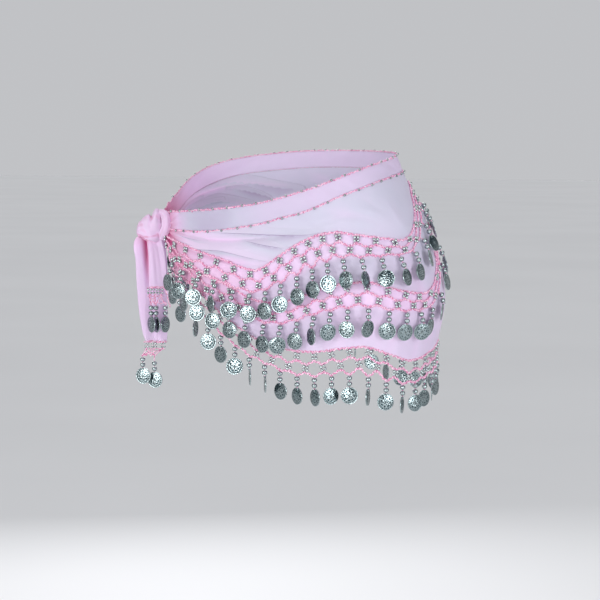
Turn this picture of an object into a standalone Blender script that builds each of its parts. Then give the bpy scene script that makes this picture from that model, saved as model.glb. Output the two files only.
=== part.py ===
"""Belly dance hip scarf, worn: a C-shaped chiffon scarf tied in a side knot.

Three tiers of crochet net carry bead-and-coin drops. The frame is the wearer's: +Z up, -Y to
the front, +X to the wearer's left, origin at the middle of the waist. Places on the scarf are
given by three numbers: how far round the hips from the knot, how high, and how far outside
the cloth's outer face. Metres throughout; the tables are in millimetres.
"""
import math
from bisect import bisect

import bmesh
import bpy
import numpy as np
from mathutils import Vector

MM = 0.001

# Worn form: sections of a general hip figure, from the waist down.
ROUNDNESS = 2.5            # exponent of the super-ellipse that each section follows
HIP_HEIGHT = -130 * MM     # the level at which distances round the hips are measured
KNOT_BEARING = math.radians(67)   # from the front towards the wearer's right
SECTIONS = (
    # height, half width, front depth, back depth, shift to the left
    (-260, 147.5, 101.5, 113.5, 30.5),
    (-215, 150.5, 104.0, 116.0, 30.5),
    (-187, 158.5, 109.5, 122.0, 30.0),
    (-134, 164.5, 113.5, 126.5, 33.5),
    (-91, 161.5, 111.5, 124.5, 30.5),
    (-60, 156.5, 108.0, 120.5, 25.0),
    (-32, 151.5, 104.5, 116.5, 19.5),
    (-5, 144.5, 99.5, 111.0, 12.0),
    (17, 139.5, 96.0, 107.5, 6.5),
    (60, 132.5, 91.5, 102.0, -3.5),
)

# Waistband edges, all the way round from the knot: it dips at the knot, rides up at the back.
BAND = (
    # way round, lower edge, upper edge
    (0, -51, -32),
    (60, -51, -29),
    (90, -51, -27),
    (120, -49, -25),
    (150, -45, -22),
    (180, -40, -18),
    (210, -33, -12),
    (240, -26, -5),
    (270, -16, 3),
    (300, -6, 12),
    (330, 2, 20),
    (360, 9, 27),
    (400, 14, 32),
    (468, 19, 38),
    (560, 21, 41),
    (650, 21, 41),
    (720, 17, 37),
    (780, 10, 30),
    (830, -3, 18),
    (870, -17, 4),
    (905, -33, -12),
    (937, -48, -30),
)

# Tier lines below the waistband, from the knot to the scarf's middle; the other half mirrors.
TIERS = (
    # from the knot, top of tiers 1 to 3, height of their nets
    (0, 5, 11, 18, 8, 8, 8),
    (35, 13, 30, 47, 24, 22, 21),
    (60, 17, 34, 57, 28, 25, 24),
    (90, 24, 46, 74, 28, 25, 24),
    (120, 33, 59, 97, 28, 25, 24),
    (150, 46, 77, 120, 26, 25, 24),
    (168, 51, 86, 131, 25, 23.5, 24),
    (190, 44, 92, 142, 28, 24, 25),
    (210, 37, 93, 151, 31, 25, 27),
    (240, 30, 88, 159, 31.5, 26.5, 28),
    (270, 33, 91, 165, 28.5, 27, 29),
    (300, 46, 99, 173, 24.5, 27.5, 32),
    (330, 58, 115, 190, 19.5, 24.5, 31),
    (360, 67, 128, 206, 15.5, 20, 27.5),
    (383, 58, 131, 209, 16.5, 18.5, 26.5),
    (410, 42, 119, 208, 19, 20, 26.5),
    (435, 24, 86, 205, 22.5, 23.5, 27),
    (468.4, 13, 62, 202, 24, 25, 27),
)

# Soft folds pulled out of the knot: troughs are negative.
FOLDS = (
    # from the knot, depth below the band, at both ends; height; half width
    (30, 2, 235, 20, -2.2, 6),
    (30, 10, 235, 32, 1.6, 7),
    (34, 14, 190, 48, -2.4, 6),
    (36, 22, 150, 66, 1.6, 8),
    (40, 36, 120, 88, -1.6, 7),
    (330, 14, 420, 100, 1.5, 12),
    (345, 75, 400, 200, -1.8, 13),
    (230, 60, 330, 140, 1.4, 14),
)

CLOTH_WALL = 1.5 * MM
SEAM_GAP = 0.3 * MM
HEM_GAP = 0.9 * MM         # between the hem and the net that hangs in line with it
CLOTH_START = 4 * MM       # from the knot's middle line to the cloth's gathered end
FLARE = 10 * MM            # how far the gathered ends turn out into the knot
FLARE_REACH = 45 * MM
FLARE_TOP, FLARE_FOOT = -60 * MM, -100 * MM
CLOTH_COLUMNS = 25         # in each half, closer together near the knot
CLOTH_ROWS = (0, 0.09, 0.19, 0.3, 0.43, 0.56, 0.69, 0.81, 0.91, 1)

# Nets: two rows of bead clusters between crochet cords.
PITCHES = 40               # from the first cluster to the last
CORD = 2.2 * MM
CLUSTER = 3.1 * MM         # half the width of a cluster of four beads
NET_WALL = 1.1 * MM
MID_CORD_AT = 0.36         # the middle cord's place within the net's height
MID_CORD_DIP = 0.08        # how much lower it lies between clusters
NET_OUT = (
    # from the knot, inner face of nets 1 to 3, outside the cloth; tier 3 hangs in line with it
    (0, 3.2, 1.4, -1.3),
    (100, 3.2, 1.4, -1.3),
    (160, 2.8, 1.1, -1.3),
    (190, 1.3, 1.1, -1.3),
    (310, 1.3, 1.3, -1.3),
    (360, 2.4, 2.2, -1.3),
    (420, 2.6, 2.2, -1.3),
    (469, 1.9, 1.7, -1.3),
)
CLUSTER_PLACES = (
    # number from the knot, way round on tiers 1 to 3
    (0, 11, 11, 12),
    (2, 62, 64, 76),
    (5, 138, 132, 137),
    (8, 199, 198, 197),
    (10, 238, 237, 240),
    (12, 275, 275, 281),
    (14, 319, 321, 327),
    (17, 393, 388, 402),
    (20, 468.4, 468.4, 468.4),
)

# Drops: two large beads and a coin, hung under each cluster but the first and last.
BEAD_HALF = 2.5 * MM
WAIST_HALF = 0.8 * MM
ROOT_HALF = 1.2 * MM
BEAD_1, WAIST, BEAD_2, COIN_TOP, COIN_CENTRE = 4.4 * MM, 7.7 * MM, 11 * MM, 14.8 * MM, 24.6 * MM
COIN_RADIUS = 9.8 * MM
COIN_WALL = 1.2 * MM
COIN_SIDES = 7             # round the rim, from one side of the short top edge to the other
COIN_TOP_ANGLE = math.radians(9)
BEAD_OUT = (5.9 * MM, 4.3 * MM, -0.7 * MM)  # bead middles of each tier, outside the cloth
COIN_OUT = (5.2 * MM, 4.8 * MM, -0.7 * MM)  # the same for a coin that lies flat
STACKED = 9.6 * MM         # a flat coin of tier 1 where it lies on the beads of tier 2
STACKED_LAST, STACKED_FADE = 6, 2
TURNS = (
    # number from the knot, degrees by which the coins of tiers 1 to 3 are turned
    (1, 10, 8, 12),
    (2, 20, -10, -58),
    (3, 25, 22, 20),
    (4, -32, 7, -10),
    (5, 28, -5, 30),
    (6, 5, -14, -58),
    (7, -12, -17, -60),
    (8, 41, 30, -23),
    (9, -19, -12, -36),
    (10, -25, -49, -44),
    (11, 31, 33, 36),
    (12, -37, -23, 6),
    (13, 58, 40, 66),
    (14, -14, -16, -6),
    (15, 27, -6, 37),
    (16, 11, -29, -25),
    (17, 14, 2, -20),
    (18, -12, 12, 15),
    (19, 16, -10, -18),
    (20, 0, 8, 6),
)

# Knot: sections along its way out from the cloth.
KNOT = (
    # way out, lowest, highest, half depth
    (9.0, -54, -36, 5.5),
    (13, -62, -30, 12),
    (18, -67, -28, 16),
    (25, -68, -31, 18),
    (32, -66, -36, 17),
    (38, -63, -41, 13),
    (42, -58, -49, 6),
)
KNOT_SIDES = 12
KNOT_LOBES, KNOT_LOBE_HEIGHT = 3, 0.07

# Tails: pleated ends of the scarf hanging from the knot, each with a net, in millimetres high, at its hem.
TAIL_WALL = 1.2 * MM
TAIL_COLUMNS = 16
TAIL_TOP_GAP = 0.9 * MM
LONG_TAIL = dict(
    depth=-4.5, waves=3.0, amplitude=4.0, net=18,
    rows=(
        # height (the first follows the knot), outer edge, inner edge
        (-69, 38, 14),
        (-77, 46, 9),
        (-92, 44.2, 6.5),
        (-125, 42.6, 6),
        (-155, 40, 6),
        (-178, 36, 6.5),
        (-188, 33, 7),
    ))
SHORT_TAIL = dict(
    depth=8.5, waves=2.0, amplitude=2.8, net=21,
    rows=(
        (-67, 30, 14),
        (-78, 28, 9),
        (-92, 27, 7),
        (-108, 27, 5.5),
        (-121, 27, 2),
    ))
SHORT_TAIL_CORNER = 24 * MM   # how far the inner corner hangs below the rest of the hem
CORNER_FROM = 0.7             # where it starts, as a share of the hem
LONG_TAIL_CLUSTERS = (31.5, 22.5, 12)
LONG_TAIL_DROPS = ((36.5, -22), (21, -22))         # way out, turn in degrees
SHORT_TAIL_CLUSTERS = (26.4, 19.6, 12.8)
SHORT_TAIL_DROPS = ((24.5, -50), (17, -46), (9.5, -42))

# name, colour, roughness, metallic
CHIFFON = ("chiffon", (0.72, 0.50, 0.66, 1), 0.75, 0.0)
THREAD = ("crochet_thread", (0.76, 0.20, 0.38, 1), 0.8, 0.0)
SILVER = ("silver", (0.66, 0.68, 0.68, 1), 0.25, 1.0)


def clear_scene():
    for item in list(bpy.data.objects):
        bpy.data.objects.remove(item, do_unlink=True)


def read(table, at, column):
    """A smooth curve through one column of a table, at a place given in its first column."""
    last = len(table) - 1
    row = next((i for i in range(1, last) if at < table[i][0]), last) - 1
    low, high = table[row], table[row + 1]
    step = high[0] - low[0]
    along = min(max((at - low[0]) / step, 0.0), 1.0)

    def slope(i):
        before, after = table[max(i - 1, 0)], table[min(i + 1, last)]
        return (after[column] - before[column]) / (after[0] - before[0]) * step

    square, cube = along ** 2, along ** 3
    return ((2 * cube - 3 * square + 1) * low[column] + (cube - 2 * square + along) * slope(row)
            + (3 * square - 2 * cube) * high[column] + (cube - square) * slope(row + 1))


def section_point(angle, height):
    """A point of the section at this height; the angle runs from the front to the left."""
    half_width, front, back, shift = (read(SECTIONS, height / MM, c) * MM for c in (1, 2, 3, 4))
    depth = front if math.cos(angle) > 0 else back
    power = 2 / ROUNDNESS
    across = math.copysign(abs(math.sin(angle)) ** power, math.sin(angle))
    forward = math.copysign(abs(math.cos(angle)) ** power, math.cos(angle))
    return Vector((shift + half_width * across, -depth * forward))


def measure_round():
    """Angles round the hip section, the way round from the knot to each, and the girth."""
    angles = np.linspace(-math.pi, math.pi, 3601)
    points = np.array([section_point(a, HIP_HEIGHT) for a in angles])
    lengths = np.concatenate([[0], np.cumsum(np.hypot(*np.diff(points, axis=0).T))])
    outward = points @ (-math.sin(KNOT_BEARING), -math.cos(KNOT_BEARING))
    return angles, lengths, lengths[np.argmax(outward)], lengths[-1]


ANGLES, LENGTHS, KNOT_LENGTH, GIRTH = measure_round()
MIDDLE = GIRTH / 2


def angle_at(way):
    return float(np.interp((way + KNOT_LENGTH) % GIRTH, LENGTHS, ANGLES))


def from_knot(way):
    """The shorter way back to the knot."""
    return min(way, GIRTH - way)


def band_edge(way, upper):
    return read(BAND, way / MM, 2 if upper else 1) * MM


def tier_top(way, tier):
    """Height of a tier's top line; tier 3's is the cloth's hem."""
    return band_edge(way, False) - read(TIERS, from_knot(way) / MM, tier) * MM


def net_height(way, tier):
    return read(TIERS, from_knot(way) / MM, 3 + tier) * MM


def fold_height(way, height):
    """How far the soft folds lift the cloth here."""
    near = from_knot(way) / MM
    depth = (band_edge(way, False) - height) / MM
    lift = 0.0
    for near_1, depth_1, near_2, depth_2, rise, half_width in FOLDS:
        run, drop = near_2 - near_1, depth_2 - depth_1
        length = math.hypot(run, drop)
        along = ((near - near_1) * run + (depth - depth_1) * drop) / length ** 2
        aside = abs((near - near_1) * drop - (depth - depth_1) * run) / length
        if 0 < along < 1 and aside < 2 * half_width:
            lift += rise * math.sin(math.pi * along) ** 0.7 * math.exp(-(aside / half_width) ** 2)
    return lift * MM


def flare(way, height):
    """How far the gathered ends turn out into the knot."""
    reach = max(0.0, 1 - from_knot(way) / FLARE_REACH) ** 2
    level = min(max((height - FLARE_FOOT) / (FLARE_TOP - FLARE_FOOT), 0.0), 1.0)
    return FLARE * reach * level


def outward(way, height):
    """Horizontal direction out of the cloth."""
    before, after = (section_point(angle_at(way + d), height) for d in (-MM, MM))
    along = (after - before).normalized()
    return Vector((along.y, -along.x, 0))


def place(way, height, out=0.0):
    """A point on the worn cloth's smooth surface, or outside it."""
    x, y = section_point(angle_at(way), height)
    lift = out + flare(way, height) + fold_height(way, height)
    return Vector((x, y, height)) + outward(way, height) * lift


def all_columns():
    """Ways round to the cloth's columns, closer together near the knot."""
    span = MIDDLE - CLOTH_START
    half = [CLOTH_START + span * (i / CLOTH_COLUMNS) ** 1.25 for i in range(CLOTH_COLUMNS + 1)]
    return half + [GIRTH - way for way in reversed(half[:-1])]


def cloth_height(way, share):
    top = band_edge(way, False) - SEAM_GAP / 2
    return top + (tier_top(way, 3) - top) * share


COLUMNS = all_columns()
CLOTH_GRID = [[place(way, cloth_height(way, share)) for way in COLUMNS] for share in CLOTH_ROWS]


def on_cloth(way, height, out=0.0):
    """A point moved out from the cloth's own facets. Below the hem it hangs straight down."""
    column = min(max(bisect(COLUMNS, way) - 1, 0), len(COLUMNS) - 2)
    aside = (way - COLUMNS[column]) / (COLUMNS[column + 1] - COLUMNS[column])
    line = [row[column].lerp(row[column + 1], aside) for row in CLOTH_GRID]
    row = next((i for i in range(1, len(line) - 1) if height > line[i].z), len(line) - 1) - 1
    down = min(max((line[row].z - height) / (line[row].z - line[row + 1].z), 0.0), 1.0)
    point = line[row].lerp(line[row + 1], down)
    return Vector((point.x, point.y, height)) + outward(way, point.z) * out


def hem(way):
    """Height of the cloth's faceted hem."""
    return float(np.interp(way, COLUMNS, [point.z for point in CLOTH_GRID[-1]]))


def cluster_way(number, tier):
    """Way round to a cluster, or between two of them for a half number."""
    if number <= PITCHES / 2:
        return read(CLUSTER_PLACES, number, tier) * MM
    return GIRTH - read(CLUSTER_PLACES, PITCHES - number, tier) * MM


def make_material(finish):
    name, colour, roughness, metallic = finish
    material = bpy.data.materials.get(name)
    if material is None:
        material = bpy.data.materials.new(name)
        material.use_nodes = True
        shader = material.node_tree.nodes["Principled BSDF"]
        shader.inputs["Base Color"].default_value = colour
        shader.inputs["Roughness"].default_value = roughness
        shader.inputs["Metallic"].default_value = metallic
    return material


def make_object(name, points, faces, finish):
    mesh = bpy.data.meshes.new(name)
    shape = bmesh.new()
    corners = [shape.verts.new(p) for p in points]
    for face in faces:
        shape.faces.new([corners[i] for i in face])
    bmesh.ops.triangulate(shape, faces=shape.faces[:])
    bmesh.ops.recalc_face_normals(shape, faces=shape.faces[:])
    shape.to_mesh(mesh)
    shape.free()
    mesh.materials.append(make_material(finish))
    item = bpy.data.objects.new(name, mesh)
    bpy.context.collection.objects.link(item)
    return item


def make_wall(name, cells, place_outer, place_inner, finish):
    """A closed wall from flat cells, whose corners are (way, height) pairs."""
    keys = sorted({key for cell in cells for key in cell})
    index = {key: i for i, key in enumerate(keys)}
    count = len(keys)
    points = [place_outer(*key) for key in keys] + [place_inner(*key) for key in keys]
    faces, edges = [], set()
    for cell in cells:
        ring = [index[key] for key in cell]
        faces.append(ring)
        faces.append([i + count for i in reversed(ring)])
        edges.update(zip(ring, ring[1:] + ring[:1]))
    for a, b in sorted(edges):
        if (b, a) not in edges:
            faces.append([b, a, a + count, b + count])
    return make_object(name, points, faces, finish)


def grid_cells(grid):
    """Cells between the rows of a grid of (way, height) pairs."""
    return [(upper[i], lower[i], lower[i + 1], upper[i + 1])
            for upper, lower in zip(grid, grid[1:]) for i in range(len(upper) - 1)]


def make_cloth():
    grid = [[(way, cloth_height(way, share)) for way in COLUMNS] for share in CLOTH_ROWS]
    make_wall("main_cloth", grid_cells(grid), place,
              lambda way, z: place(way, z, -CLOTH_WALL), CHIFFON)


def make_waistband():
    lower = [(way, band_edge(way, False) + SEAM_GAP / 2) for way in COLUMNS]
    upper = [(way, band_edge(way, True)) for way in COLUMNS]
    make_wall("waistband", grid_cells([upper, lower]), place,
              lambda way, z: place(way, z, -CLOTH_WALL), CHIFFON)


def net_cells(clusters, top_at, height_at, strip_at, seam_after=None, seam_before=None, stops=()):
    """Cells of a net: top cord, hanging clusters, middle cord and the clusters below it.

    clusters lists the ways round to the upper clusters, and strip_at gives the height of the
    strip that carries the drops. seam_after and seam_before extend the cords to a seam with the
    next or the previous stretch. The top cord also bends at each of stops.
    """
    def at(way, share, down=0.0):
        return (way, top_at(way) - height_at(way) * share - down)

    def top_between(start, end):
        return [at(way, 0) for way in reversed(stops) if start < way < end]

    def middle_foot(way):
        return at(way, MID_CORD_AT + MID_CORD_DIP, CORD)

    def tooth(left, right):
        tips = [(way, strip_at(way) + CORD / 2 + SEAM_GAP) for way in (left, right)]
        cells.append((middle_foot(left), tips[0], tips[1], middle_foot(right)))

    cells = []
    start = clusters[0] - CLUSTER if seam_before is None else seam_before
    foot = middle_foot(start)
    if seam_before is not None:
        corner = clusters[0] - CLUSTER
        cells.append((at(start, 0), at(start, 0, CORD), at(corner, 0, CORD), at(clusters[0], 0),
                      *top_between(start, clusters[0])))
        cells.append((at(start, MID_CORD_AT), foot, at(corner, MID_CORD_AT)))
    for here, following in zip(clusters, [*clusters[1:], None]):
        left, right = here - CLUSTER, here + CLUSTER
        mid_left, mid_right = at(left, MID_CORD_AT), at(right, MID_CORD_AT)
        cells.append((at(here, 0), at(left, 0, CORD), mid_left, mid_right, at(right, 0, CORD)))
        if following is None and seam_after is None:
            cells.append((mid_left, foot, middle_foot(right), mid_right))
            break
        if following is None:
            low_left, low_right = seam_after - 2 * CLUSTER, seam_after
            top_end, cord_end, mid_end = seam_after, seam_after, seam_after
        else:
            low_left = (here + following) / 2 - CLUSTER
            low_right = low_left + 2 * CLUSTER
            top_end, cord_end, mid_end = following, following - CLUSTER, following - CLUSTER
        cells.append((at(here, 0), at(right, 0, CORD), at(cord_end, 0, CORD), at(top_end, 0),
                      *top_between(here, top_end)))
        cells.append((mid_left, foot, middle_foot(low_left), mid_right))
        cells.append((mid_right, middle_foot(low_left), middle_foot(low_right),
                      at(mid_end, MID_CORD_AT)))
        tooth(low_left, low_right)
        foot = middle_foot(low_right)
    return cells


def strip_ways(tier):
    """Ways round to the bends of a tier's strip: its ends and both sides of each drop."""
    ways = [cluster_way(0, tier) - CLUSTER, cluster_way(PITCHES, tier) + CLUSTER]
    for number in range(1, PITCHES):
        ways += [cluster_way(number, tier) + side * ROOT_HALF for side in (-1, 1)]
    return sorted(ways)


def net_out(way, tier):
    """How far a net's inner face stands outside the cloth."""
    return read(NET_OUT, from_knot(way) / MM, tier) * MM


def make_tier_net(tier):
    bends = strip_ways(tier)
    strip_heights = [tier_top(way, tier) - net_height(way, tier) for way in bends]

    def top_at(way):
        return hem(way) - HEM_GAP if tier == 3 else tier_top(way, tier)

    def strip_at(way):
        return float(np.interp(way, bends, strip_heights))

    def outer_face(way, height):
        return on_cloth(way, height, net_out(way, tier) + NET_WALL)

    def inner_face(way, height):
        return on_cloth(way, height, net_out(way, tier))

    def stretch(name, ways, **seams):
        cells = net_cells(ways, top_at, lambda way: net_height(way, tier), strip_at, **seams)
        make_wall(name, cells, outer_face, inner_face, THREAD)

    ways = [cluster_way(number, tier) for number in range(PITCHES + 1)]
    if tier < 3:
        stretch(f"net_tier_{tier}", ways)
        return
    half = PITCHES // 2
    seam = (ways[half] + ways[half + 1]) / 2 + CLUSTER
    stretch("net_hem_front", ways[:half + 1], seam_after=seam, stops=COLUMNS)
    stretch("net_hem_back", ways[half + 1:], seam_before=seam + SEAM_GAP, stops=COLUMNS)


def add_ring(points, centre, side, out, half_side, half_out):
    """Four corners of a strand's section; returns their numbers."""
    start = len(points)
    for a, b in ((-1, 1), (1, 1), (1, -1), (-1, -1)):
        points.append(centre + side * (a * half_side) + out * (b * half_out))
    return [start, start + 1, start + 2, start + 3]


def join_rings(faces, upper, lower):
    for i in range(4):
        j = (i + 1) % 4
        faces.append([upper[i], lower[i], lower[j], upper[j]])


def add_drop(points, faces, root, line, side, out, turn):
    """Two beads and a coin below a root ring. line gives the strand's place at a depth."""
    half_side = (side * math.cos(turn / 2) - out * math.sin(turn / 2)).normalized()
    half_out = (out * math.cos(turn / 2) + side * math.sin(turn / 2)).normalized()
    previous = root
    for depth, half, ring_side, ring_out in (
            (BEAD_1, BEAD_HALF, side, out), (WAIST, WAIST_HALF, side, out),
            (BEAD_2, BEAD_HALF, half_side, half_out)):
        ring = add_ring(points, line(depth), ring_side, ring_out, half, half)
        join_rings(faces, previous, ring)
        previous = ring
    down = (line(COIN_CENTRE + COIN_RADIUS) - line(COIN_CENTRE - COIN_RADIUS)).normalized()
    face_side = (side * math.cos(turn) - out * math.sin(turn)).normalized()
    face_side = (face_side - down * face_side.dot(down)).normalized()
    face_out = down.cross(face_side)
    if face_out.dot(out) < 0:
        face_out = -face_out
    sweep = (2 * math.pi - 2 * COIN_TOP_ANGLE) / COIN_SIDES
    front, back = [], []
    centre = line(COIN_CENTRE)
    for i in range(COIN_SIDES + 1):
        angle = COIN_TOP_ANGLE + sweep * i      # from the top, towards the side
        rim = centre + (face_side * math.sin(angle) - down * math.cos(angle)) * COIN_RADIUS
        front.append(len(points))
        points.append(rim + face_out * (COIN_WALL / 2))
        back.append(len(points))
        points.append(rim - face_out * (COIN_WALL / 2))
    join_rings(faces, previous, [front[-1], front[0], back[0], back[-1]])
    faces.append(list(front))
    faces.append(list(reversed(back)))
    for i in range(COIN_SIDES):
        faces.append([front[i + 1], front[i], back[i], back[i + 1]])


def make_fringe(name, bends, strip_point, drop_frame):
    """A narrow strip with drops fused under it.

    bends lists the ways to the strip's ends and to both sides of each drop;
    strip_point(way, down, outer) gives a corner of the strip; drop_frame(number) gives a
    drop's line, side, out and turn.
    """
    points, faces = [], []

    def strip_ring(way):
        first = len(points)
        points.extend(strip_point(way, down, outer) for down, outer in
                      ((-1, True), (1, True), (1, False), (-1, False)))
        return [first, first + 1, first + 2, first + 3]

    rings = [strip_ring(way) for way in bends]
    faces.append(list(rings[0]))
    faces.append(list(reversed(rings[-1])))
    for i in range(0, len(rings) - 1, 2):
        join_rings(faces, rings[i], rings[i + 1])
    for number in range(len(rings) // 2 - 1):
        left, right = rings[2 * number + 1], rings[2 * number + 2]
        for i in (0, 2, 3):
            j = (i + 1) % 4
            faces.append([left[i], right[i], right[j], left[j]])
        root = [left[1], right[1], right[2], left[2]]
        add_drop(points, faces, root, *drop_frame(number))
    make_object(name, points, faces, SILVER)


def coin_turn(number, tier):
    near = min(number, PITCHES - number)
    turn = math.radians(TURNS[near - 1][tier])
    return turn if number <= PITCHES / 2 else -turn


def coin_out(number, tier):
    """How far a coin's middle stands outside the cloth: enough for its turned edge."""
    flat = COIN_OUT[tier - 1]
    if tier == 3:
        return flat
    near = min(number, PITCHES - number)
    if tier == 1:
        share = min(max((STACKED_LAST + STACKED_FADE - near) / STACKED_FADE, 0.0), 1.0)
        flat += (STACKED - flat) * share
    return flat + COIN_RADIUS * abs(math.sin(coin_turn(number, tier)))


def make_tier_fringe(tier):
    def strip_height(way):
        return tier_top(way, tier) - net_height(way, tier)

    def strip_point(way, down, outer):
        return on_cloth(way, strip_height(way) - down * CORD / 2,
                        net_out(way, tier) + (NET_WALL if outer else 0.0))

    def drop_frame(index):
        number = index + 1
        way = cluster_way(number, tier)
        top = strip_height(way)
        beads, coin = BEAD_OUT[tier - 1], coin_out(number, tier)

        def line(depth):
            share = min(max((depth - WAIST) / (COIN_TOP - WAIST), 0.0), 1.0)
            return on_cloth(way, top - depth, beads + (coin - beads) * share)

        out = outward(way, max(top, hem(way)))
        return line, Vector((-out.y, out.x, 0)), out, coin_turn(number, tier)

    make_fringe(f"coin_fringe_{tier}", strip_ways(tier), strip_point, drop_frame)


KNOT_OUT = Vector((-math.sin(KNOT_BEARING), -math.cos(KNOT_BEARING), 0))
KNOT_SIDE = Vector((math.cos(KNOT_BEARING), -math.sin(KNOT_BEARING), 0))   # to the front


def knot_place(out, side, height):
    """A point beside the knot: way out from the cloth, way to the front, height."""
    origin = section_point(angle_at(0), -50 * MM)
    return Vector((origin.x, origin.y, height)) + KNOT_OUT * out + KNOT_SIDE * side


def knot_underside(out, side):
    """Height of the knot's underside."""
    low, high, half_depth = (read(KNOT, out / MM, c) * MM for c in (1, 2, 3))
    share = min(abs(side) / half_depth, 0.95)
    return (low + high) / 2 - (high - low) / 2 * math.sqrt(1 - share ** 2)


def make_knot():
    points, faces = [], []
    rings = []
    for out, low, high, half_depth in KNOT:
        ring = []
        for i in range(KNOT_SIDES):
            angle = 2 * math.pi * i / KNOT_SIDES
            lobe = 1 + KNOT_LOBE_HEIGHT * (math.cos(KNOT_LOBES * angle + out / 9) - 1)
            ring.append(len(points))
            points.append(knot_place(
                out * MM, half_depth * MM * math.sin(angle) * lobe,
                (low + high) / 2 * MM + (high - low) / 2 * MM * math.cos(angle) * lobe))
        rings.append(ring)
    faces.append(list(rings[0]))
    faces.append(list(reversed(rings[-1])))
    for ring, following in zip(rings, rings[1:]):
        for i in range(KNOT_SIDES):
            j = (i + 1) % KNOT_SIDES
            faces.append([ring[i], following[i], following[j], ring[j]])
    make_object("knot", points, faces, CHIFFON)


def tail_shape(tail, share, height):
    """Way out and way to the front of a tail's middle surface."""
    outer, inner = (read(tuple((-r[0], *r[1:]) for r in tail["rows"]), -height / MM, c)
                    for c in (1, 2))
    wave = math.sin(2 * math.pi * tail["waves"] * share + 0.6) * tail["amplitude"]
    return (outer + (inner - outer) * share) * MM, (tail["depth"] + wave) * MM


def make_tail(name, tail, corner):
    """A pleated wall; the pleats keep their places from the knot to the hem."""
    heights = [row[0] * MM for row in tail["rows"]]

    def position(column, row, side):
        share = column / TAIL_COLUMNS
        height = heights[row]
        out, depth = tail_shape(tail, share, height)
        near = [tail_shape(tail, share + d, height) for d in (-0.01, 0.01)]
        run = Vector((near[1][0] - near[0][0], near[1][1] - near[0][1])).normalized()
        if row == 0:
            height = knot_underside(out, depth) - TAIL_TOP_GAP
        inner_share = max(0.0, (share - CORNER_FROM) / (1 - CORNER_FROM))
        height -= corner * inner_share ** 1.5 * (row / (len(heights) - 1)) ** 4
        shift = side * TAIL_WALL / 2
        return knot_place(out + run.y * shift, depth - run.x * shift, height)

    grid = [[(c, r) for c in range(TAIL_COLUMNS + 1)] for r in range(len(heights))]
    make_wall(name, grid_cells(grid), lambda c, r: position(c, r, -1),
              lambda c, r: position(c, r, 1), CHIFFON)


def make_tail_trim(name, tail, clusters, drops):
    """The net and the drops at a tail's hem. Ways along it are counted from the outer edge."""
    top = tail["rows"][-1][0] * MM - SEAM_GAP
    net = tail["net"] * MM
    outer_edge = tail["rows"][-1][1]
    front = (tail["depth"] + 0.2) * MM

    def along(out):
        return (outer_edge - out) * MM

    def net_place(way, height, shift):
        return knot_place(outer_edge * MM - way, front + shift, height)

    def strip_point(way, down, outer):
        return net_place(way, top - net - down * CORD / 2, (1 if outer else -1) * NET_WALL / 2)

    def drop_frame(number):
        out, turn = drops[number]

        def line(depth):
            return knot_place(out * MM, front, top - net - depth)

        return line, -KNOT_OUT, KNOT_SIDE, math.radians(turn)

    cells = net_cells([along(out) for out in clusters], lambda way: top, lambda way: net,
                      lambda way: top - net)
    make_wall(f"{name}_net", cells, lambda way, z: net_place(way, z, NET_WALL / 2),
              lambda way, z: net_place(way, z, -NET_WALL / 2), THREAD)
    roots = [along(out) + side * ROOT_HALF for out, turn in drops for side in (-1, 1)]
    start = min(along(clusters[0]), roots[0]) - CLUSTER
    end = max(along(clusters[-1]), roots[-1]) + CLUSTER
    make_fringe(f"{name}_coins", [start, *roots, end], strip_point, drop_frame)


clear_scene()
make_cloth()
make_waistband()
for tier_number in (1, 2, 3):
    make_tier_net(tier_number)
    make_tier_fringe(tier_number)
make_knot()
make_tail("tail_long", LONG_TAIL, 0.0)
make_tail("tail_short", SHORT_TAIL, SHORT_TAIL_CORNER)
make_tail_trim("tail_long", LONG_TAIL, LONG_TAIL_CLUSTERS, LONG_TAIL_DROPS)
make_tail_trim("tail_short", SHORT_TAIL, SHORT_TAIL_CLUSTERS, SHORT_TAIL_DROPS)
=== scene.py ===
"""Looks of the belly dance hip scarf: chiffon, crochet nets, bead clusters, coins, knot, tails.

The frame is the wearer's: +Z up, -Y to the front, +X to the wearer's left, in metres. Places on
the scarf are given by the way round the hips from the knot, the height, and how far outside the
cloth's outer face, as in the part's own construction. The tables are in millimetres.
"""
import math

import bpy
import numpy as np
from mathutils import Matrix, Vector


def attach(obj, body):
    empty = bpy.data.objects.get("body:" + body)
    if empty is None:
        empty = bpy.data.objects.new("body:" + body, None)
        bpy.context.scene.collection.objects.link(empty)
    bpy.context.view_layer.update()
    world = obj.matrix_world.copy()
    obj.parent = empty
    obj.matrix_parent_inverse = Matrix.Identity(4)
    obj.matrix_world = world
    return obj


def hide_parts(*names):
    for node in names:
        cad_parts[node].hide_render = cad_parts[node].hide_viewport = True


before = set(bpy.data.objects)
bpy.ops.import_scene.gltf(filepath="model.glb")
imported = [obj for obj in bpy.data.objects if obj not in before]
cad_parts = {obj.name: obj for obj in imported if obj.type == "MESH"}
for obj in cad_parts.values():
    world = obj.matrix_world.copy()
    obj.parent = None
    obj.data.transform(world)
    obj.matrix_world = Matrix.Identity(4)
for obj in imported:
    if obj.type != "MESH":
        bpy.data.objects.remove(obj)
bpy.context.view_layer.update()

MM = 0.001
RNG = np.random.default_rng(7)

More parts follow.
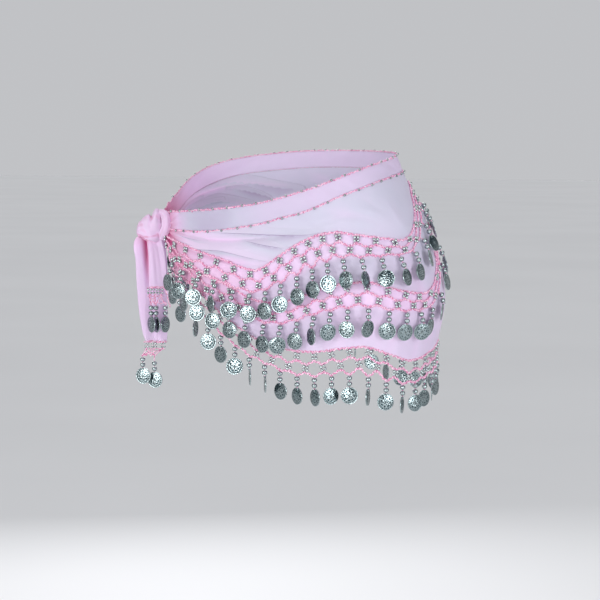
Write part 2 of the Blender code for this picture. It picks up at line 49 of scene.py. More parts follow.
# ---- the worn form, as constructed
ROUNDNESS = 2.5
HIP_HEIGHT = -130 * MM
KNOT_BEARING = math.radians(67)
SECTIONS = (
    # height, half width, front depth, back depth, shift to the left
    (-260, 147.5, 101.5, 113.5, 30.5),
    (-215, 150.5, 104.0, 116.0, 30.5),
    (-187, 158.5, 109.5, 122.0, 30.0),
    (-134, 164.5, 113.5, 126.5, 33.5),
    (-91, 161.5, 111.5, 124.5, 30.5),
    (-60, 156.5, 108.0, 120.5, 25.0),
    (-32, 151.5, 104.5, 116.5, 19.5),
    (-5, 144.5, 99.5, 111.0, 12.0),
    (17, 139.5, 96.0, 107.5, 6.5),
    (60, 132.5, 91.5, 102.0, -3.5),
)
BAND = (
    # way round, lower edge, upper edge
    (0, -51, -32),
    (60, -51, -29),
    (90, -51, -27),
    (120, -49, -25),
    (150, -45, -22),
    (180, -40, -18),
    (210, -33, -12),
    (240, -26, -5),
    (270, -16, 3),
    (300, -6, 12),
    (330, 2, 20),
    (360, 9, 27),
    (400, 14, 32),
    (468, 19, 38),
    (560, 21, 41),
    (650, 21, 41),
    (720, 17, 37),
    (780, 10, 30),
    (830, -3, 18),
    (870, -17, 4),
    (905, -33, -12),
    (937, -48, -30),
)
TIERS = (
    # from the knot, top of tiers 1 to 3 below the band, height of their nets
    (0, 5, 11, 18, 8, 8, 8),
    (35, 13, 30, 47, 24, 22, 21),
    (60, 17, 34, 57, 28, 25, 24),
    (90, 24, 46, 74, 28, 25, 24),
    (120, 33, 59, 97, 28, 25, 24),
    (150, 46, 77, 120, 26, 25, 24),
    (168, 51, 86, 131, 25, 23.5, 24),
    (190, 44, 92, 142, 28, 24, 25),
    (210, 37, 93, 151, 31, 25, 27),
    (240, 30, 88, 159, 31.5, 26.5, 28),
    (270, 33, 91, 165, 28.5, 27, 29),
    (300, 46, 99, 173, 24.5, 27.5, 32),
    (330, 58, 115, 190, 19.5, 24.5, 31),
    (360, 67, 128, 206, 15.5, 20, 27.5),
    (383, 58, 131, 209, 16.5, 18.5, 26.5),
    (410, 42, 119, 208, 19, 20, 26.5),
    (435, 24, 86, 205, 22.5, 23.5, 27),
    (468.4, 13, 62, 202, 24, 25, 27),
)
FOLDS = (
    # from the knot, depth below the band, at both ends; height; half width
    (30, 2, 235, 20, -2.2, 6),
    (30, 10, 235, 32, 1.6, 7),
    (34, 14, 190, 48, -2.4, 6),
    (36, 22, 150, 66, 1.6, 8),
    (40, 36, 120, 88, -1.6, 7),
    (330, 14, 420, 100, 1.5, 12),
    (345, 75, 400, 200, -1.8, 13),
    (230, 60, 330, 140, 1.4, 14),
)
# Narrow creases and soft tone folds that only the fine cloth has.
CREASES = (
    (26, 1, 240, 21, -1.5, 1.7),
    (60, 4, 232, 17, 0.9, 2.6),
    (232, 19, 300, 22, -0.7, 2.6),
    (38, 17, 172, 47, -1.2, 1.8),
    (95, 33, 190, 52, 0.7, 3.0),
    (30, 7, 120, 24, -0.8, 2.6),
    (32, 26, 96, 52, -0.8, 2.4),
    (230, 6, 300, 34, 0.8, 6),
    (262, 4, 345, 42, -0.9, 5),
    (300, 10, 380, 70, 0.8, 7),
    (318, 4, 352, 50, -0.7, 5),
    (352, 20, 372, 64, 0.8, 6),
    (175, 52, 236, 70, -0.8, 5),
    (130, 62, 180, 96, 0.8, 5),
    (205, 118, 300, 150, 0.9, 8),
    (250, 126, 350, 160, -0.8, 7),
    (320, 150, 400, 176, 0.8, 7),
    (410, 60, 440, 190, 0.9, 9),
    (440, 30, 452, 180, -0.8, 8),
)
# Tucks: the cloth above the line is folded over the cloth below it.
TUCKS = (
    # ways from the knot to the ends, depth below the band at five even places, rise, width
    (92, 258, 0.3, 5.0, 12.0, 22.0, 28.5, 2.1, 11.0),
    (52, 190, 16.5, 21.3, 24.3, 35.3, 47.0, 1.9, 10.0),
    (22, 104, 2.5, 5.5, 8.5, 10.5, 12.0, 1.1, 6.0),
    (28, 132, 9.0, 13.5, 18.5, 23.0, 26.0, 0.9, 7.0),
    (146, 214, 14.0, 19.0, 25.0, 31.0, 38.0, 0.8, 9.0),
)
TUCK_SECTION = (
    # up from the edge, as a share of the width; rise, as a share; tint, whose negative values paint a line
    # of shade along the folded edge
    (1.0, -0.15, 0), (0.8, 0.06, 0), (0.6, 0.28, 0), (0.42, 0.52, 0), (0.27, 0.74, 0),
    (0.14, 0.91, 0), (0.06, 1.0, -0.1), (0.0, 0.88, -0.8), (0.01, 0.45, -0.9), (0.1, 0.2, -0.9),
)
TUCK_STEP, TUCK_SHIFT, TUCK_SINK = 2.2, 9, 0.3
TUCK_SHADE, TUCK_SHADE_REACH = 0.16, 6 * MM
FLARE, FLARE_REACH = 10 * MM, 45 * MM
FLARE_TOP, FLARE_FOOT = -60 * MM, -100 * MM
CLOTH_START, SHELL = 4 * MM, 0.5 * MM     # way round to the first edge, thickness
GATHERS, GATHER_RISE, GATHER_REACH = 23, 1.1 * MM, 46 * MM    # pleats that fan out of the knot
GATHER_HEIGHT = -51 * MM
RIPPLE, RIPPLE_PITCH = 0.48 * MM, 47 * MM                     # soft flutes towards the hem

PITCHES = 40
CLUSTER_PLACES = (
    # number from the knot, way round on tiers 1 to 3
    (0, 11, 11, 12),
    (2, 62, 64, 76),
    (5, 138, 132, 137),
    (8, 199, 198, 197),
    (10, 238, 237, 240),
    (12, 275, 275, 281),
    (14, 319, 321, 327),
    (17, 393, 388, 402),
    (20, 468.4, 468.4, 468.4),
)
# Depths below the net on a drop, and how far out its beads and coin are on tiers 1 to 3.
BEAD_1, BEAD_2, COIN_TOP, COIN_CENTRE = 4.4 * MM, 11 * MM, 14.8 * MM, 24.6 * MM
WAIST = 7.7 * MM              # between a drop's two beads
COIN_RADIUS = 9.9 * MM
BEAD_OUT = (5.2 * MM, 4.3 * MM, -0.7 * MM)
COIN_OUT = (5.2 * MM, 4.8 * MM, -0.7 * MM)
STACKED = 9.6 * MM            # how far out tier 1's coins hang where they cover tier 2's
STACKED_LAST, STACKED_FADE = 6, 2
TURNS = (
    # degrees by which the coins of tiers 1 to 3 are turned, from the first beside the knot
    (10, 8, 12), (20, -10, -58), (25, 22, 20), (-32, 7, -10), (28, -5, 30),
    (5, -14, -58), (-12, -17, -60), (41, 30, -23), (-19, -12, -36), (-25, -49, -44),
    (31, 33, 36), (-37, -23, 6), (58, 40, 66), (-14, -16, -6), (27, -6, 37),
    (11, -29, -25), (14, 2, -20), (-12, 12, 15), (16, -10, -18), (0, 8, 6),
)

# Nets, measured down from their top cord where the net is NET_FULL high.
NET_FULL, NET_MOST = 25.5 * MM, 27 * MM
ROW_1, MID_PEAK, MID_DIP, ROW_2, LOW_PEAK = 5.0 * MM, 10.2 * MM, 13.6 * MM, 18.2 * MM, 22.9 * MM
CORD_RADIUS, HEM_CORD_RADIUS, THREAD_RADIUS = 1.08 * MM, 1.05 * MM, 0.5 * MM
CORD_OUT, HEM_CORD_OUT, HEM_NET_OUT, CLUSTER_OUT = 1.0 * MM, 0.5 * MM, -0.6 * MM, 0.7 * MM
TOP_SCALLOP, HEM_OVERLAP = 0.5 * MM, 0.3 * MM
PICOT_RADIUS = THREAD_RADIUS * 1.1
NET_PICOT_PITCH, NET_PICOT = 4.4 * MM, 1.3 * MM
STITCH = 3.1 * MM             # length of a crochet chain stitch
STITCH_LEAN, STITCH_RISE = 0.85, 0.2      # as shares of the cord's radius
SEED_RADIUS = 2.05 * MM       # beads of the clusters
SEED_APART = 2.0 * MM
DROP_BEAD_RADIUS = 3.25 * MM
BEAD_HOLE, BEAD_FLAT, BEAD_DISH = 0.16, 0.93, 0.95    # as shares of a bead's radius
BAND_BEAD_RADIUS, BAND_BEAD_OUT, BAND_BEAD_PITCH = 1.6 * MM, 1.5 * MM, 21.5 * MM

# ---- knot and tails, as constructed
KNOT = (
    # way out, lowest, highest, half depth
    (9.0, -54, -36, 5.5),
    (13, -62, -30, 12),
    (18, -67, -28, 16),
    (25, -68, -31, 18),
    (32, -66, -36, 17),
    (38, -63, -41, 13),
    (42, -58, -49, 6),
)
LONG_TAIL = dict(
    depth=-4.5, waves=3.0, amplitude=4.0, net=18,
    rows=(
        # height (the first follows the knot), outer edge, inner edge
        (-69, 38, 14),
        (-77, 46, 9),
        (-92, 44.2, 6.5),
        (-125, 42.6, 6),
        (-155, 40, 6),
        (-178, 36, 6.5),
        (-188, 33, 7),
    ))
SHORT_TAIL = dict(
    depth=8.5, waves=2.0, amplitude=2.8, net=21,
    rows=(
        (-67, 30, 14),
        (-78, 28, 9),
        (-92, 27, 7),
        (-108, 27, 5.5),
        (-121, 27, 2),
    ))
SHORT_TAIL_CORNER = 24 * MM
CORNER_FROM = 0.7
# Ways out to the tails' clusters; ways out, turns in degrees and slacks of their drops.
LONG_TAIL_CLUSTERS = (31.5, 22.5, 12)
LONG_TAIL_DROPS = ((36.5, -22, 0), (22.3, -22, 5))
SHORT_TAIL_CLUSTERS = (26.4, 19.6, 12.8)
SHORT_TAIL_DROPS = ((24.8, -60, 0), (18.8, -62, 0), (7.7, 62, 0))

# ---- curves and surfaces
FRONT_BOW, BACK_BOW = 1.6, 4.0            # how far the folds bow aside, in millimetres
FOLD_FADE = 0.7                           # how softly a fold runs out at its ends
PLEATS_FROM = 12 * MM                     # from the knot's middle to full pleats
RIPPLE_SWAY, RIPPLE_SHARE = 31 * MM, 0.43


def read(table, at, column):
    """A smooth curve through one column of a table, at places given in its first column."""
    keys, values = np.array([(row[0], row[column]) for row in table], float).T
    wide_keys, wide_values = np.pad(keys, 1, "edge"), np.pad(values, 1, "edge")
    slopes = (wide_values[2:] - wide_values[:-2]) / (wide_keys[2:] - wide_keys[:-2])
    row = np.clip(np.searchsorted(keys, at, side="right") - 1, 0, len(keys) - 2)
    step = keys[row + 1] - keys[row]
    t = np.clip((at - keys[row]) / step, 0, 1)
    return ((2 * t ** 3 - 3 * t ** 2 + 1) * values[row] + (t ** 3 - 2 * t ** 2 + t) * slopes[row] * step
            + (3 * t ** 2 - 2 * t ** 3) * values[row + 1] + (t ** 3 - t ** 2) * slopes[row + 1] * step)


def soft(distance, reach):
    """A soft hump, 1 at no distance and fading over the reach."""
    return np.exp(-(distance / reach) ** 2)


def section_point(angle, height):
    """Points of the sections; the angle runs from the front to the left."""
    half_width, front, back, shift = (read(SECTIONS, height / MM, c) * MM for c in (1, 2, 3, 4))
    sine, cosine = np.sin(angle), np.cos(angle)
    depth = np.where(cosine > 0, front, back)
    power = 2 / ROUNDNESS
    return np.stack([shift + half_width * np.sign(sine) * np.abs(sine) ** power,
                     -depth * np.sign(cosine) * np.abs(cosine) ** power], -1)


def lengths_along(line):
    """Length from the start of a line of points to each of them."""
    return np.concatenate([[0], np.cumsum(np.linalg.norm(np.diff(line, axis=0), axis=1))])


def measure_round():
    """Angles round the hip section, the way round from the knot to each, and the girth."""
    angles = np.linspace(-math.pi, math.pi, 3601)
    points = section_point(angles, np.full(angles.shape, HIP_HEIGHT))
    lengths = lengths_along(points)
    outward = points @ (-math.sin(KNOT_BEARING), -math.cos(KNOT_BEARING))
    return angles, lengths, lengths[np.argmax(outward)], lengths[-1]


ANGLES, LENGTHS, KNOT_LENGTH, GIRTH = measure_round()
MIDDLE = GIRTH / 2


def angle_at(way):
    """The sections' angle at a way round from the knot."""
    return np.interp((way + KNOT_LENGTH) % GIRTH, LENGTHS, ANGLES)


def from_knot(way):
    """The shorter way back to the knot."""
    return np.minimum(way, GIRTH - way)


def band_edge(way, upper):
    """Height of the waistband's upper or lower edge."""
    return read(BAND, np.asarray(way) / MM, 2 if upper else 1) * MM


def tier_top(way, tier):
    """Height of a tier's top line; tier 3's is the cloth's hem."""
    return band_edge(way, False) - read(TIERS, from_knot(way) / MM, tier) * MM


def net_height(way, tier):
    return read(TIERS, from_knot(way) / MM, 3 + tier) * MM


def fold_lift(way, height):
    """Folds, creases, gathers at the knot and flutes towards the hem."""
    near = from_knot(way) / MM
    depth = (band_edge(way, False) - height) / MM
    lift = np.zeros(np.broadcast(near, depth).shape)
    for i, (near_1, depth_1, near_2, depth_2, rise, half_width) in enumerate(FOLDS + CREASES):
        run, drop = near_2 - near_1, depth_2 - depth_1
        bow = np.where(way > MIDDLE, BACK_BOW * math.sin(2.3 * i), FRONT_BOW * math.sin(1.7 * i))
        length = math.hypot(run, drop)
        along = ((near - near_1) * run + (depth - depth_1) * drop) / length ** 2
        arch = np.sin(math.pi * np.clip(along, 0, 1))
        aside = ((near - near_1) * drop - (depth - depth_1) * run) / length + bow * arch
        inside = (along > 0) & (along < 1)
        ends = arch ** FOLD_FADE
        lift += np.where(inside, rise * ends * soft(aside, half_width), 0.0)
    lift = lift * MM
    reach = np.hypot(from_knot(way), height - GATHER_HEIGHT)
    bearing = np.arctan2(height - GATHER_HEIGHT, from_knot(way))
    pleats = np.sin(GATHERS * bearing + 0.8 * np.sin(5 * bearing))
    lift += GATHER_RISE * pleats * soft(reach, GATHER_REACH) * np.minimum(reach / PLEATS_FROM, 1)
    top = band_edge(way, False)
    share = np.clip((top - height) / np.maximum(top - tier_top(way, 3), 1 * MM), 0, 1)
    flute = (np.sin(2 * math.pi * way / RIPPLE_PITCH + 1.3 * np.sin(way / RIPPLE_SWAY))
             + 0.6 * np.sin(2 * math.pi * way / (RIPPLE_PITCH * RIPPLE_SHARE) + 2.0))
    return lift + RIPPLE * flute * share ** 2


def flare(way, height):
    """How far the gathered ends turn out into the knot."""
    reach = np.maximum(0.0, 1 - from_knot(way) / FLARE_REACH) ** 2
    level = np.clip((height - FLARE_FOOT) / (FLARE_TOP - FLARE_FOOT), 0.0, 1.0)
    return FLARE * reach * level


def unit(vectors):
    """Vectors of length one."""
    return vectors / np.maximum(np.linalg.norm(vectors, axis=-1, keepdims=True), 1e-9)


def outward(way, height):
    """Horizontal directions out of the cloth."""
    before, after = (section_point(angle_at(way + d), height) for d in (-MM, MM))
    along = unit(after - before)
    return np.stack([along[..., 1], -along[..., 0], np.zeros(along.shape[:-1])], -1)


def place(way, height, out=0.0):
    """Points on the worn cloth, or outside it."""
    way, height, out = np.broadcast_arrays(np.asarray(way, float), height, out)
    xy = section_point(angle_at(way), height)
    lift = out + flare(way, height) + fold_lift(way, height)
    point = np.concatenate([xy, height[..., None]], -1)
    return point + outward(way, height) * lift[..., None]


def hang(way, height, out=0.0):
    """As place, but below the hem it hangs straight down."""
    way, height, out = np.broadcast_arrays(np.asarray(way, float), height, out)
    point = place(way, np.maximum(height, tier_top(way, 3)), out)
    point[..., 2] = height
    return point


def near_number(number):
    """A cluster's number, counted from the knot by the shorter way."""
    return np.minimum(number, PITCHES - number)


def number_way(number, tier):
    """Way round to a cluster, or between two of them for a half number."""
    number = np.asarray(number, float)
    way = read(CLUSTER_PLACES, near_number(number), tier) * MM
    return np.where(number <= PITCHES / 2, way, GIRTH - way)


# ---- meshes
UP = np.array([0.0, 0.0, 1.0])


class Heap:
    """Points, faces, tones and cloth coordinates of one piece."""

    def __init__(self):
        self.points, self.faces, self.tones, self.uvs, self.count = [], [], [], [], 0

    def add(self, points, faces, tones=0.5, uvs=(0, 0)):
        points = np.asarray(points, float).reshape(-1, 3)
        self.points.append(points)
        self.faces += [tuple(int(i) + self.count for i in face) for face in faces]
        self.tones.append(np.broadcast_to(np.ravel(tones), len(points)))
        self.uvs.append(np.broadcast_to(np.reshape(uvs, (-1, 2)), (len(points), 2)))
        self.count += len(points)

    def build(self, name, material, slot):
        mesh = bpy.data.meshes.new(name)
        mesh.from_pydata(np.concatenate(self.points).tolist(), [], self.faces)
        mesh.shade_smooth()
        tone = mesh.attributes.new("depth", "FLOAT", "POINT")
        tone.data.foreach_set("value", np.concatenate(self.tones).astype(np.float32))
        layer = mesh.uv_layers.new(name="cloth")
        corners = np.empty(len(mesh.loops), int)
        mesh.loops.foreach_get("vertex_index", corners)
        layer.data.foreach_set("uv", np.concatenate(self.uvs)[corners].astype(np.float32).ravel())
        mesh.materials.append(material)
        mesh.validate()
        item = bpy.data.objects.new(name, mesh)
        bpy.context.collection.objects.link(item)
        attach(item, "root")
        return item


def grid_faces(rows, columns, start=0, flip=False, closed=False):
    """Faces of a grid whose points run row by row. closed joins its last column to its first."""
    number = start + np.arange(rows * columns).reshape(rows, columns)
    if closed:
        number = np.column_stack([number, number[:, 0]])
    corners = (number[:-1, :-1], number[1:, :-1], number[1:, 1:], number[:-1, 1:])
    return np.stack(corners[::-1] if flip else corners, -1).reshape(-1, 4).tolist()


def tube_faces(rings, sides, flip=False):
    """Faces of a row of rings with both ends closed."""
    walls = grid_faces(rings, sides, closed=True)
    first, last = (tuple(start + i for i in range(sides)) for start in (0, (rings - 1) * sides))
    if flip:
        return [(a, d, c, b) for a, b, c, d in walls] + [first[::-1], last]
    return walls + [first, last[::-1]]


def add_shell(heap, outer, inner, uvs, tones):
    """A closed thin shell between two grids of points."""
    rows, columns = outer.shape[:2]
    count = rows * columns
    faces = grid_faces(rows, columns) + grid_faces(rows, columns, count, flip=True)
    number = np.arange(count).reshape(rows, columns)
    border = np.concatenate([number[:, 0], number[-1, 1:], number[-2::-1, -1], number[0, -2:0:-1]])
    faces += [(b, a, a + count, b + count) for a, b in zip(border, np.roll(border, -1))]
    heap.add(np.concatenate([outer.reshape(-1, 3), inner.reshape(-1, 3)]), faces,
             np.concatenate([tones.ravel()] * 2), np.concatenate([uvs.reshape(-1, 2)] * 2))


def add_cloth(heap, way, height, lift, tones):
    """A shell of cloth with its outer face at a lift above the worn form."""
    add_shell(heap, place(way, height, lift), place(way, height, lift - SHELL),
              np.stack([way, height], -1), tones)


def add_tube(heap, line, radii, out, sides):
    """A tube along a line of points. out is the direction away from the cloth at each."""
    out = np.broadcast_to(out, line.shape)
    tangent = unit(np.gradient(line, axis=0))
    side = unit(np.cross(tangent, out))
    out = np.cross(side, tangent)
    radii = np.broadcast_to(radii, len(line))[:, None]
    angles = [2 * math.pi * i / sides for i in range(sides)]
    rings = [line + side * (math.cos(a) * radii) + out * (math.sin(a) * radii) for a in angles]
    heap.add(np.stack(rings, 1), tube_faces(len(line), sides, flip=True))


def points_along(line, lengths, at):
    """Points of a line, or directions given at its points, at lengths along it."""
    return np.stack([np.interp(at, lengths, line[:, i]) for i in range(3)], -1)


def add_crochet(heap, line, radius, out):
    """A crocheted chain: a tube that swells and leans to each side with every stitch."""
    lengths = lengths_along(line)
    samples = max(int(lengths[-1] / STITCH * 4), 4)
    at = np.linspace(0, lengths[-1], samples + 1)
    fine = points_along(line, lengths, at)
    away = points_along(np.broadcast_to(out, line.shape), lengths, at)
    side = unit(np.cross(unit(np.gradient(fine, axis=0)), away))
    turn = 2 * math.pi * at / STITCH
    fine = fine + side * (np.sin(turn / 2)[:, None] * radius * STITCH_LEAN) + away * (
        np.cos(turn)[:, None] * radius * STITCH_RISE)
    swell = radius * (0.86 + 0.26 * np.cos(turn) + 0.12 * RNG.uniform(-1, 1, len(at)))
    add_tube(heap, fine, swell, away, 6)


def add_picots(heap, line, out, up, pitch, size):
    """Small loops of thread along an edge, most of them on one side of it."""
    lengths = lengths_along(line)
    at = np.arange(pitch, lengths[-1] - pitch, pitch)
    at = at + RNG.uniform(-0.2, 0.2, len(at)) * pitch
    spots = points_along(line, lengths, at)
    along = unit(points_along(line, lengths, at + pitch / 4) - spots)
    away = points_along(np.broadcast_to(out, line.shape), lengths, at)
    turns = np.linspace(0, math.pi, 5)
    for spot, ahead, aside in zip(spots, along, away):
        grow = size * RNG.uniform(0.7, 1.25)
        rise = up * (1 if RNG.uniform() < 0.8 else -1)
        arc = spot + np.outer(np.cos(turns) * pitch * 0.3, ahead) + np.outer(np.sin(turns) * grow, rise)
        add_tube(heap, arc, PICOT_RADIUS, aside, 4)


def ball(segments, rings):
    """Points and faces of a slightly flat bead; its axis, the thread hole, points up."""
    points = []
    for r in range(rings + 1):
        angle = math.pi * r / rings
        radius = max(math.sin(angle), BEAD_HOLE)
        height = math.cos(angle) * BEAD_FLAT * (BEAD_DISH if r in (0, rings) else 1)
        points += [(radius * math.cos(2 * math.pi * s / segments),
                    radius * math.sin(2 * math.pi * s / segments), height) for s in range(segments)]
    return np.array(points), tube_faces(rings + 1, segments)


SEED = ball(8, 5)
BIG_BEAD = ball(12, 8)


def add_copies(heap, template, centres, frames, size, tones=0.5, uvs=(0, 0)):
    """A template's copies: frames are rows of side, out and up at each centre."""
    points, faces = template
    placed = np.einsum("pi,kij->kpj", points * size, frames) + centres[:, None, :]
    for copy in placed:
        heap.add(copy, faces, tones, uvs)


def add_clusters(heap, centres, frames, across, rise, radius):
    """Four seed beads round each centre, threaded upright."""
    for column in (-across, across):
        for row in (-rise, rise):
            spots = centres + frames[:, 0] * column + frames[:, 2] * row
            add_copies(heap, SEED, spots, frames[:, [2, 1, 0]], radius)


def frames_at(way, height, roll):
    """Rows of side, out and up on the cloth; roll turns them within its face."""
    out = outward(way, height)
    side = np.stack([-out[..., 1], out[..., 0], out[..., 2]], -1)
    up = np.broadcast_to(UP, out.shape)
    roll = roll[..., None]
    turned = side * np.cos(roll) + up * np.sin(roll)
    risen = up * np.cos(roll) - side * np.sin(roll)
    return np.stack([turned, out, risen], -2)


# ---- materials
# Chiffon colours along the tint: mauve at the bottom carries the painted shade along and under the tucks;
# deep rose at the top carries the painted shade under the knot, in the knot's creases and in the tails'
# groove.
MAUVE = (0.42, 0.30, 0.50)
PALE = (0.68, 0.66, 0.79)
LILAC = (0.90, 0.69, 0.92)
ROSE = (0.76, 0.34, 0.53)
DEEP = (0.55, 0.08, 0.25)
CHIFFON_RAMP = ((0.0, MAUVE), (0.22, PALE), (0.48, LILAC), (0.8, ROSE), (1.0, DEEP))
CHIFFON_SURFACE = {"Roughness": 0.72, "Sheen Weight": 0.35, "Sheen Roughness": 0.4,
                   "Sheen Tint": (1.0, 0.86, 0.94, 1), "Specular IOR Level": 0.25}
WEAVE_SCALE = 420.0
# Pale speckles on the crochet thread: painted highlights of its loops.
THREAD_PALE_HIGHLIGHT = (0.93, 0.72, 0.84)
THREAD_SURFACE = {"Roughness": 0.85, "Sheen Weight": 0.5, "Sheen Roughness": 0.5,
                  "Sheen Tint": (1.0, 0.75, 0.85, 1), "Specular IOR Level": 0.2}


def new_material(name):
    material = bpy.data.materials.new(name)
    material.use_nodes = True
    tree = material.node_tree
    return material, tree, tree.nodes["Principled BSDF"]


def fill(tree, item, inputs):
    """Sets a node's inputs to values, or links them to other nodes' outputs."""
    for key, value in inputs.items():
        if isinstance(value, bpy.types.NodeSocket):
            tree.links.new(value, item.inputs[key])
        else:
            item.inputs[key].default_value = value


def node(tree, kind, inputs, **settings):
    """A new node with its inputs filled; its first output is returned."""
    made = tree.nodes.new(kind)
    for key, value in settings.items():
        setattr(made, key, value)
    fill(tree, made, inputs)
    return made.outputs[0]


def coordinates(tree, kind):
    return tree.nodes.new("ShaderNodeTexCoord").outputs[kind]


def noise(tree, scale, detail, roughness):
    """How strong a soft cloud is at each place of the piece, from 0 to 1."""
    made = tree.nodes.new("ShaderNodeTexNoise")
    fill(tree, made, {"Vector": coordinates(tree, "Object"), "Scale": scale, "Detail": detail,
                      "Roughness": roughness})
    return made.outputs["Fac"]


def tone(tree):
    """What the piece's points say: how pink the cloth is, with its painted shade, or how high a coin's
    relief.
    """
    made = tree.nodes.new("ShaderNodeAttribute")
    made.attribute_name = "depth"
    return made.outputs["Fac"]


def multiply_add(tree, value, factor, addend):
    return node(tree, "ShaderNodeMath", {0: value, 1: factor, 2: addend}, operation="MULTIPLY_ADD")


def relief(tree, height, strength, distance):
    return node(tree, "ShaderNodeBump", {"Height": height, "Strength": strength, "Distance": distance})


def ramp(tree, factor, stops):
    """Colours that blend from stop to stop as the factor grows."""
    made = tree.nodes.new("ShaderNodeValToRGB")
    elements = made.color_ramp.elements
    while len(elements) < len(stops):
        elements.new(0.5)
    for element, (at, colour) in zip(elements, stops):
        element.position = at
        element.color = (*colour, 1)
    tree.links.new(factor, made.inputs["Fac"])
    return made.outputs["Color"]


def chiffon(name, alpha, translucent):
    """Sheer chiffon: lilac cloth, rose gathers, mauve and deep rose for painted shade in creases, along
    tucks and under the knot; finely woven, softly see-through.
    """
    material, tree, shader = new_material(name)
    colour = ramp(tree, multiply_add(tree, noise(tree, 14.0, 3.0, 0.55), 0.16, tone(tree)), CHIFFON_RAMP)
    uv = node(tree, "ShaderNodeUVMap", {}, uv_map="cloth")
    weave = []
    for direction in ("X", "Y"):
        wave = tree.nodes.new("ShaderNodeTexWave")
        wave.wave_type, wave.bands_direction = "BANDS", direction
        fill(tree, wave, {"Vector": uv, "Scale": WEAVE_SCALE, "Distortion": 1.5, "Detail": 1.0})
        weave.append(wave.outputs["Fac"])
    woven = node(tree, "ShaderNodeMath", dict(enumerate(weave)), operation="ADD")
    crepe = multiply_add(tree, noise(tree, 260.0, 4.0, 0.6), 1.6, woven)
    fill(tree, shader, {**CHIFFON_SURFACE, "Base Color": colour, "Alpha": alpha,
                        "Normal": relief(tree, crepe, 0.25, 0.22 * MM)})
    through = node(tree, "ShaderNodeBsdfTranslucent", {"Color": colour})
    mix = node(tree, "ShaderNodeMixShader", {0: translucent, 1: shader.outputs[0], 2: through})
    tree.links.new(mix, tree.nodes["Material Output"].inputs["Surface"])
    return material


def crochet_thread(name, light, dark):
    """Bright pink crochet cotton with a fuzzy, twisted surface, speckled at random with painted highlights
    and painted shade.
    """
    material, tree, shader = new_material(name)
    fibre_and_painted_light = noise(tree, 700.0, 3.0, 0.65)
    # The dark stop is painted shade and the pale stop painted highlights, scattered by the noise.
    colour = ramp(tree, fibre_and_painted_light, ((0.41, dark), (0.50, light), (0.60, THREAD_PALE_HIGHLIGHT)))
    fuzz = relief(tree, fibre_and_painted_light, 0.6, 0.4 * MM)
    fill(tree, shader, {**THREAD_SURFACE, "Base Color": colour, "Normal": fuzz})
    return material


def silver(name, bright, patina, roughness, grain):
    """Silver plate: bright on the heights, dark teal in the recesses that the tone marks."""
    material, tree, shader = new_material(name)
    wear = noise(tree, 420.0, 4.0, 0.6)
    colour = ramp(tree, multiply_add(tree, wear, 0.5, tone(tree)), ((0.38, patina), (0.66, bright)))
    rough = node(tree, "ShaderNodeMapRange", {"Value": wear, "To Min": roughness * 0.7,
                                              "To Max": roughness * 1.5})
    struck = relief(tree, noise(tree, 620.0, 2.0, 0.5), 1.0, grain)
    fill(tree, shader, {"Base Color": colour, "Metallic": 1.0, "Roughness": rough, "Normal": struck})
    return material


CHIFFON = chiffon("chiffon", 1.0, 0.22)
SHEER = chiffon("chiffon_single", 0.8, 0.22)
GATHERED = chiffon("chiffon_gathered", 1.0, 0.25)
THREAD = crochet_thread("crochet_pink", (0.84, 0.42, 0.62), (0.60, 0.13, 0.32))
HEM_THREAD = crochet_thread("crochet_hem_pink", (0.82, 0.41, 0.60), (0.55, 0.13, 0.30))
SMALL_SILVER = silver("small_bead_silver", (0.36, 0.40, 0.40), (0.04, 0.06, 0.06), 0.08, 0.04 * MM)
CLUSTER_SILVER = silver("cluster_silver", (0.48, 0.54, 0.54), (0.04, 0.07, 0.07), 0.08, 0.04 * MM)
BEAD_SILVER = silver("bead_silver", (0.36, 0.42, 0.43), (0.04, 0.07, 0.07), 0.08, 0.04 * MM)
COIN_SILVER = silver("coin_silver", (0.38, 0.45, 0.46), (0.02, 0.05, 0.06), 0.13, 0.25 * MM)

# ---- cloth
CLOTH_COLUMNS, CLOTH_ROWS, BAND_ROWS = 344, 76, 14
SEAM = 0.2 * MM
# The crease term makes fold troughs pinker, and darker where the cloth is already rose: partly the pink of
# folded cloth, partly painted crease shade.
BASE_TINT, LOW_TINT, NET_TINT, CREASE_PINK_AND_SHADE, BAND_TINT = 0.15, 0.12, 0.15, 0.05, 0.09
LOW_FROM, LOW_REACH, NET_TINT_EDGE = -50 * MM, 90 * MM, 7 * MM
KNOT_PINKS = ((0.42, 45 * MM), (0.24, 130 * MM))    # tints round the gathers, and their reach
GAP_TINT, GAP_WAY, GAP_HEIGHT, GAP_REACH = 0.62, 4 * MM, -62 * MM, 11 * MM   # shade under the knot
BAND_SHEER, BAND_SHEER_WAY, BAND_SHEER_REACH = 0.29, 85 * MM, 75 * MM
WRINKLE, WRINKLE_PITCH, WRINKLE_SWAY = 0.35 * MM, 5.2 * MM, 23 * MM
PUCKER, PUCKER_PITCH = 0.3 * MM, 11.3 * MM
EDGING_RADIUS, EDGING_OUT, SCALLOP, SCALLOP_PITCH = 0.66 * MM, 0.35 * MM, 0.45 * MM, 4.3 * MM
EDGING_START, BAND_PICOT, BAND_BEADS_START = 3 * MM, 1.2 * MM, 20 * MM


def cloth_grid(upper, lower, rows):
    """Ways and heights of a sheet between two edges, its columns closer together near the knot."""
    share = np.linspace(0, 1, CLOTH_COLUMNS // 2 + 1) ** 1.25
    half = CLOTH_START + (MIDDLE - CLOTH_START) * share
    ways = np.concatenate([half, GIRTH - half[-2::-1]])
    shares = np.linspace(0, 1, rows)[:, None]
    heights = upper(ways) + (lower(ways) - upper(ways)) * shares
    return np.broadcast_to(ways, heights.shape), heights, shares


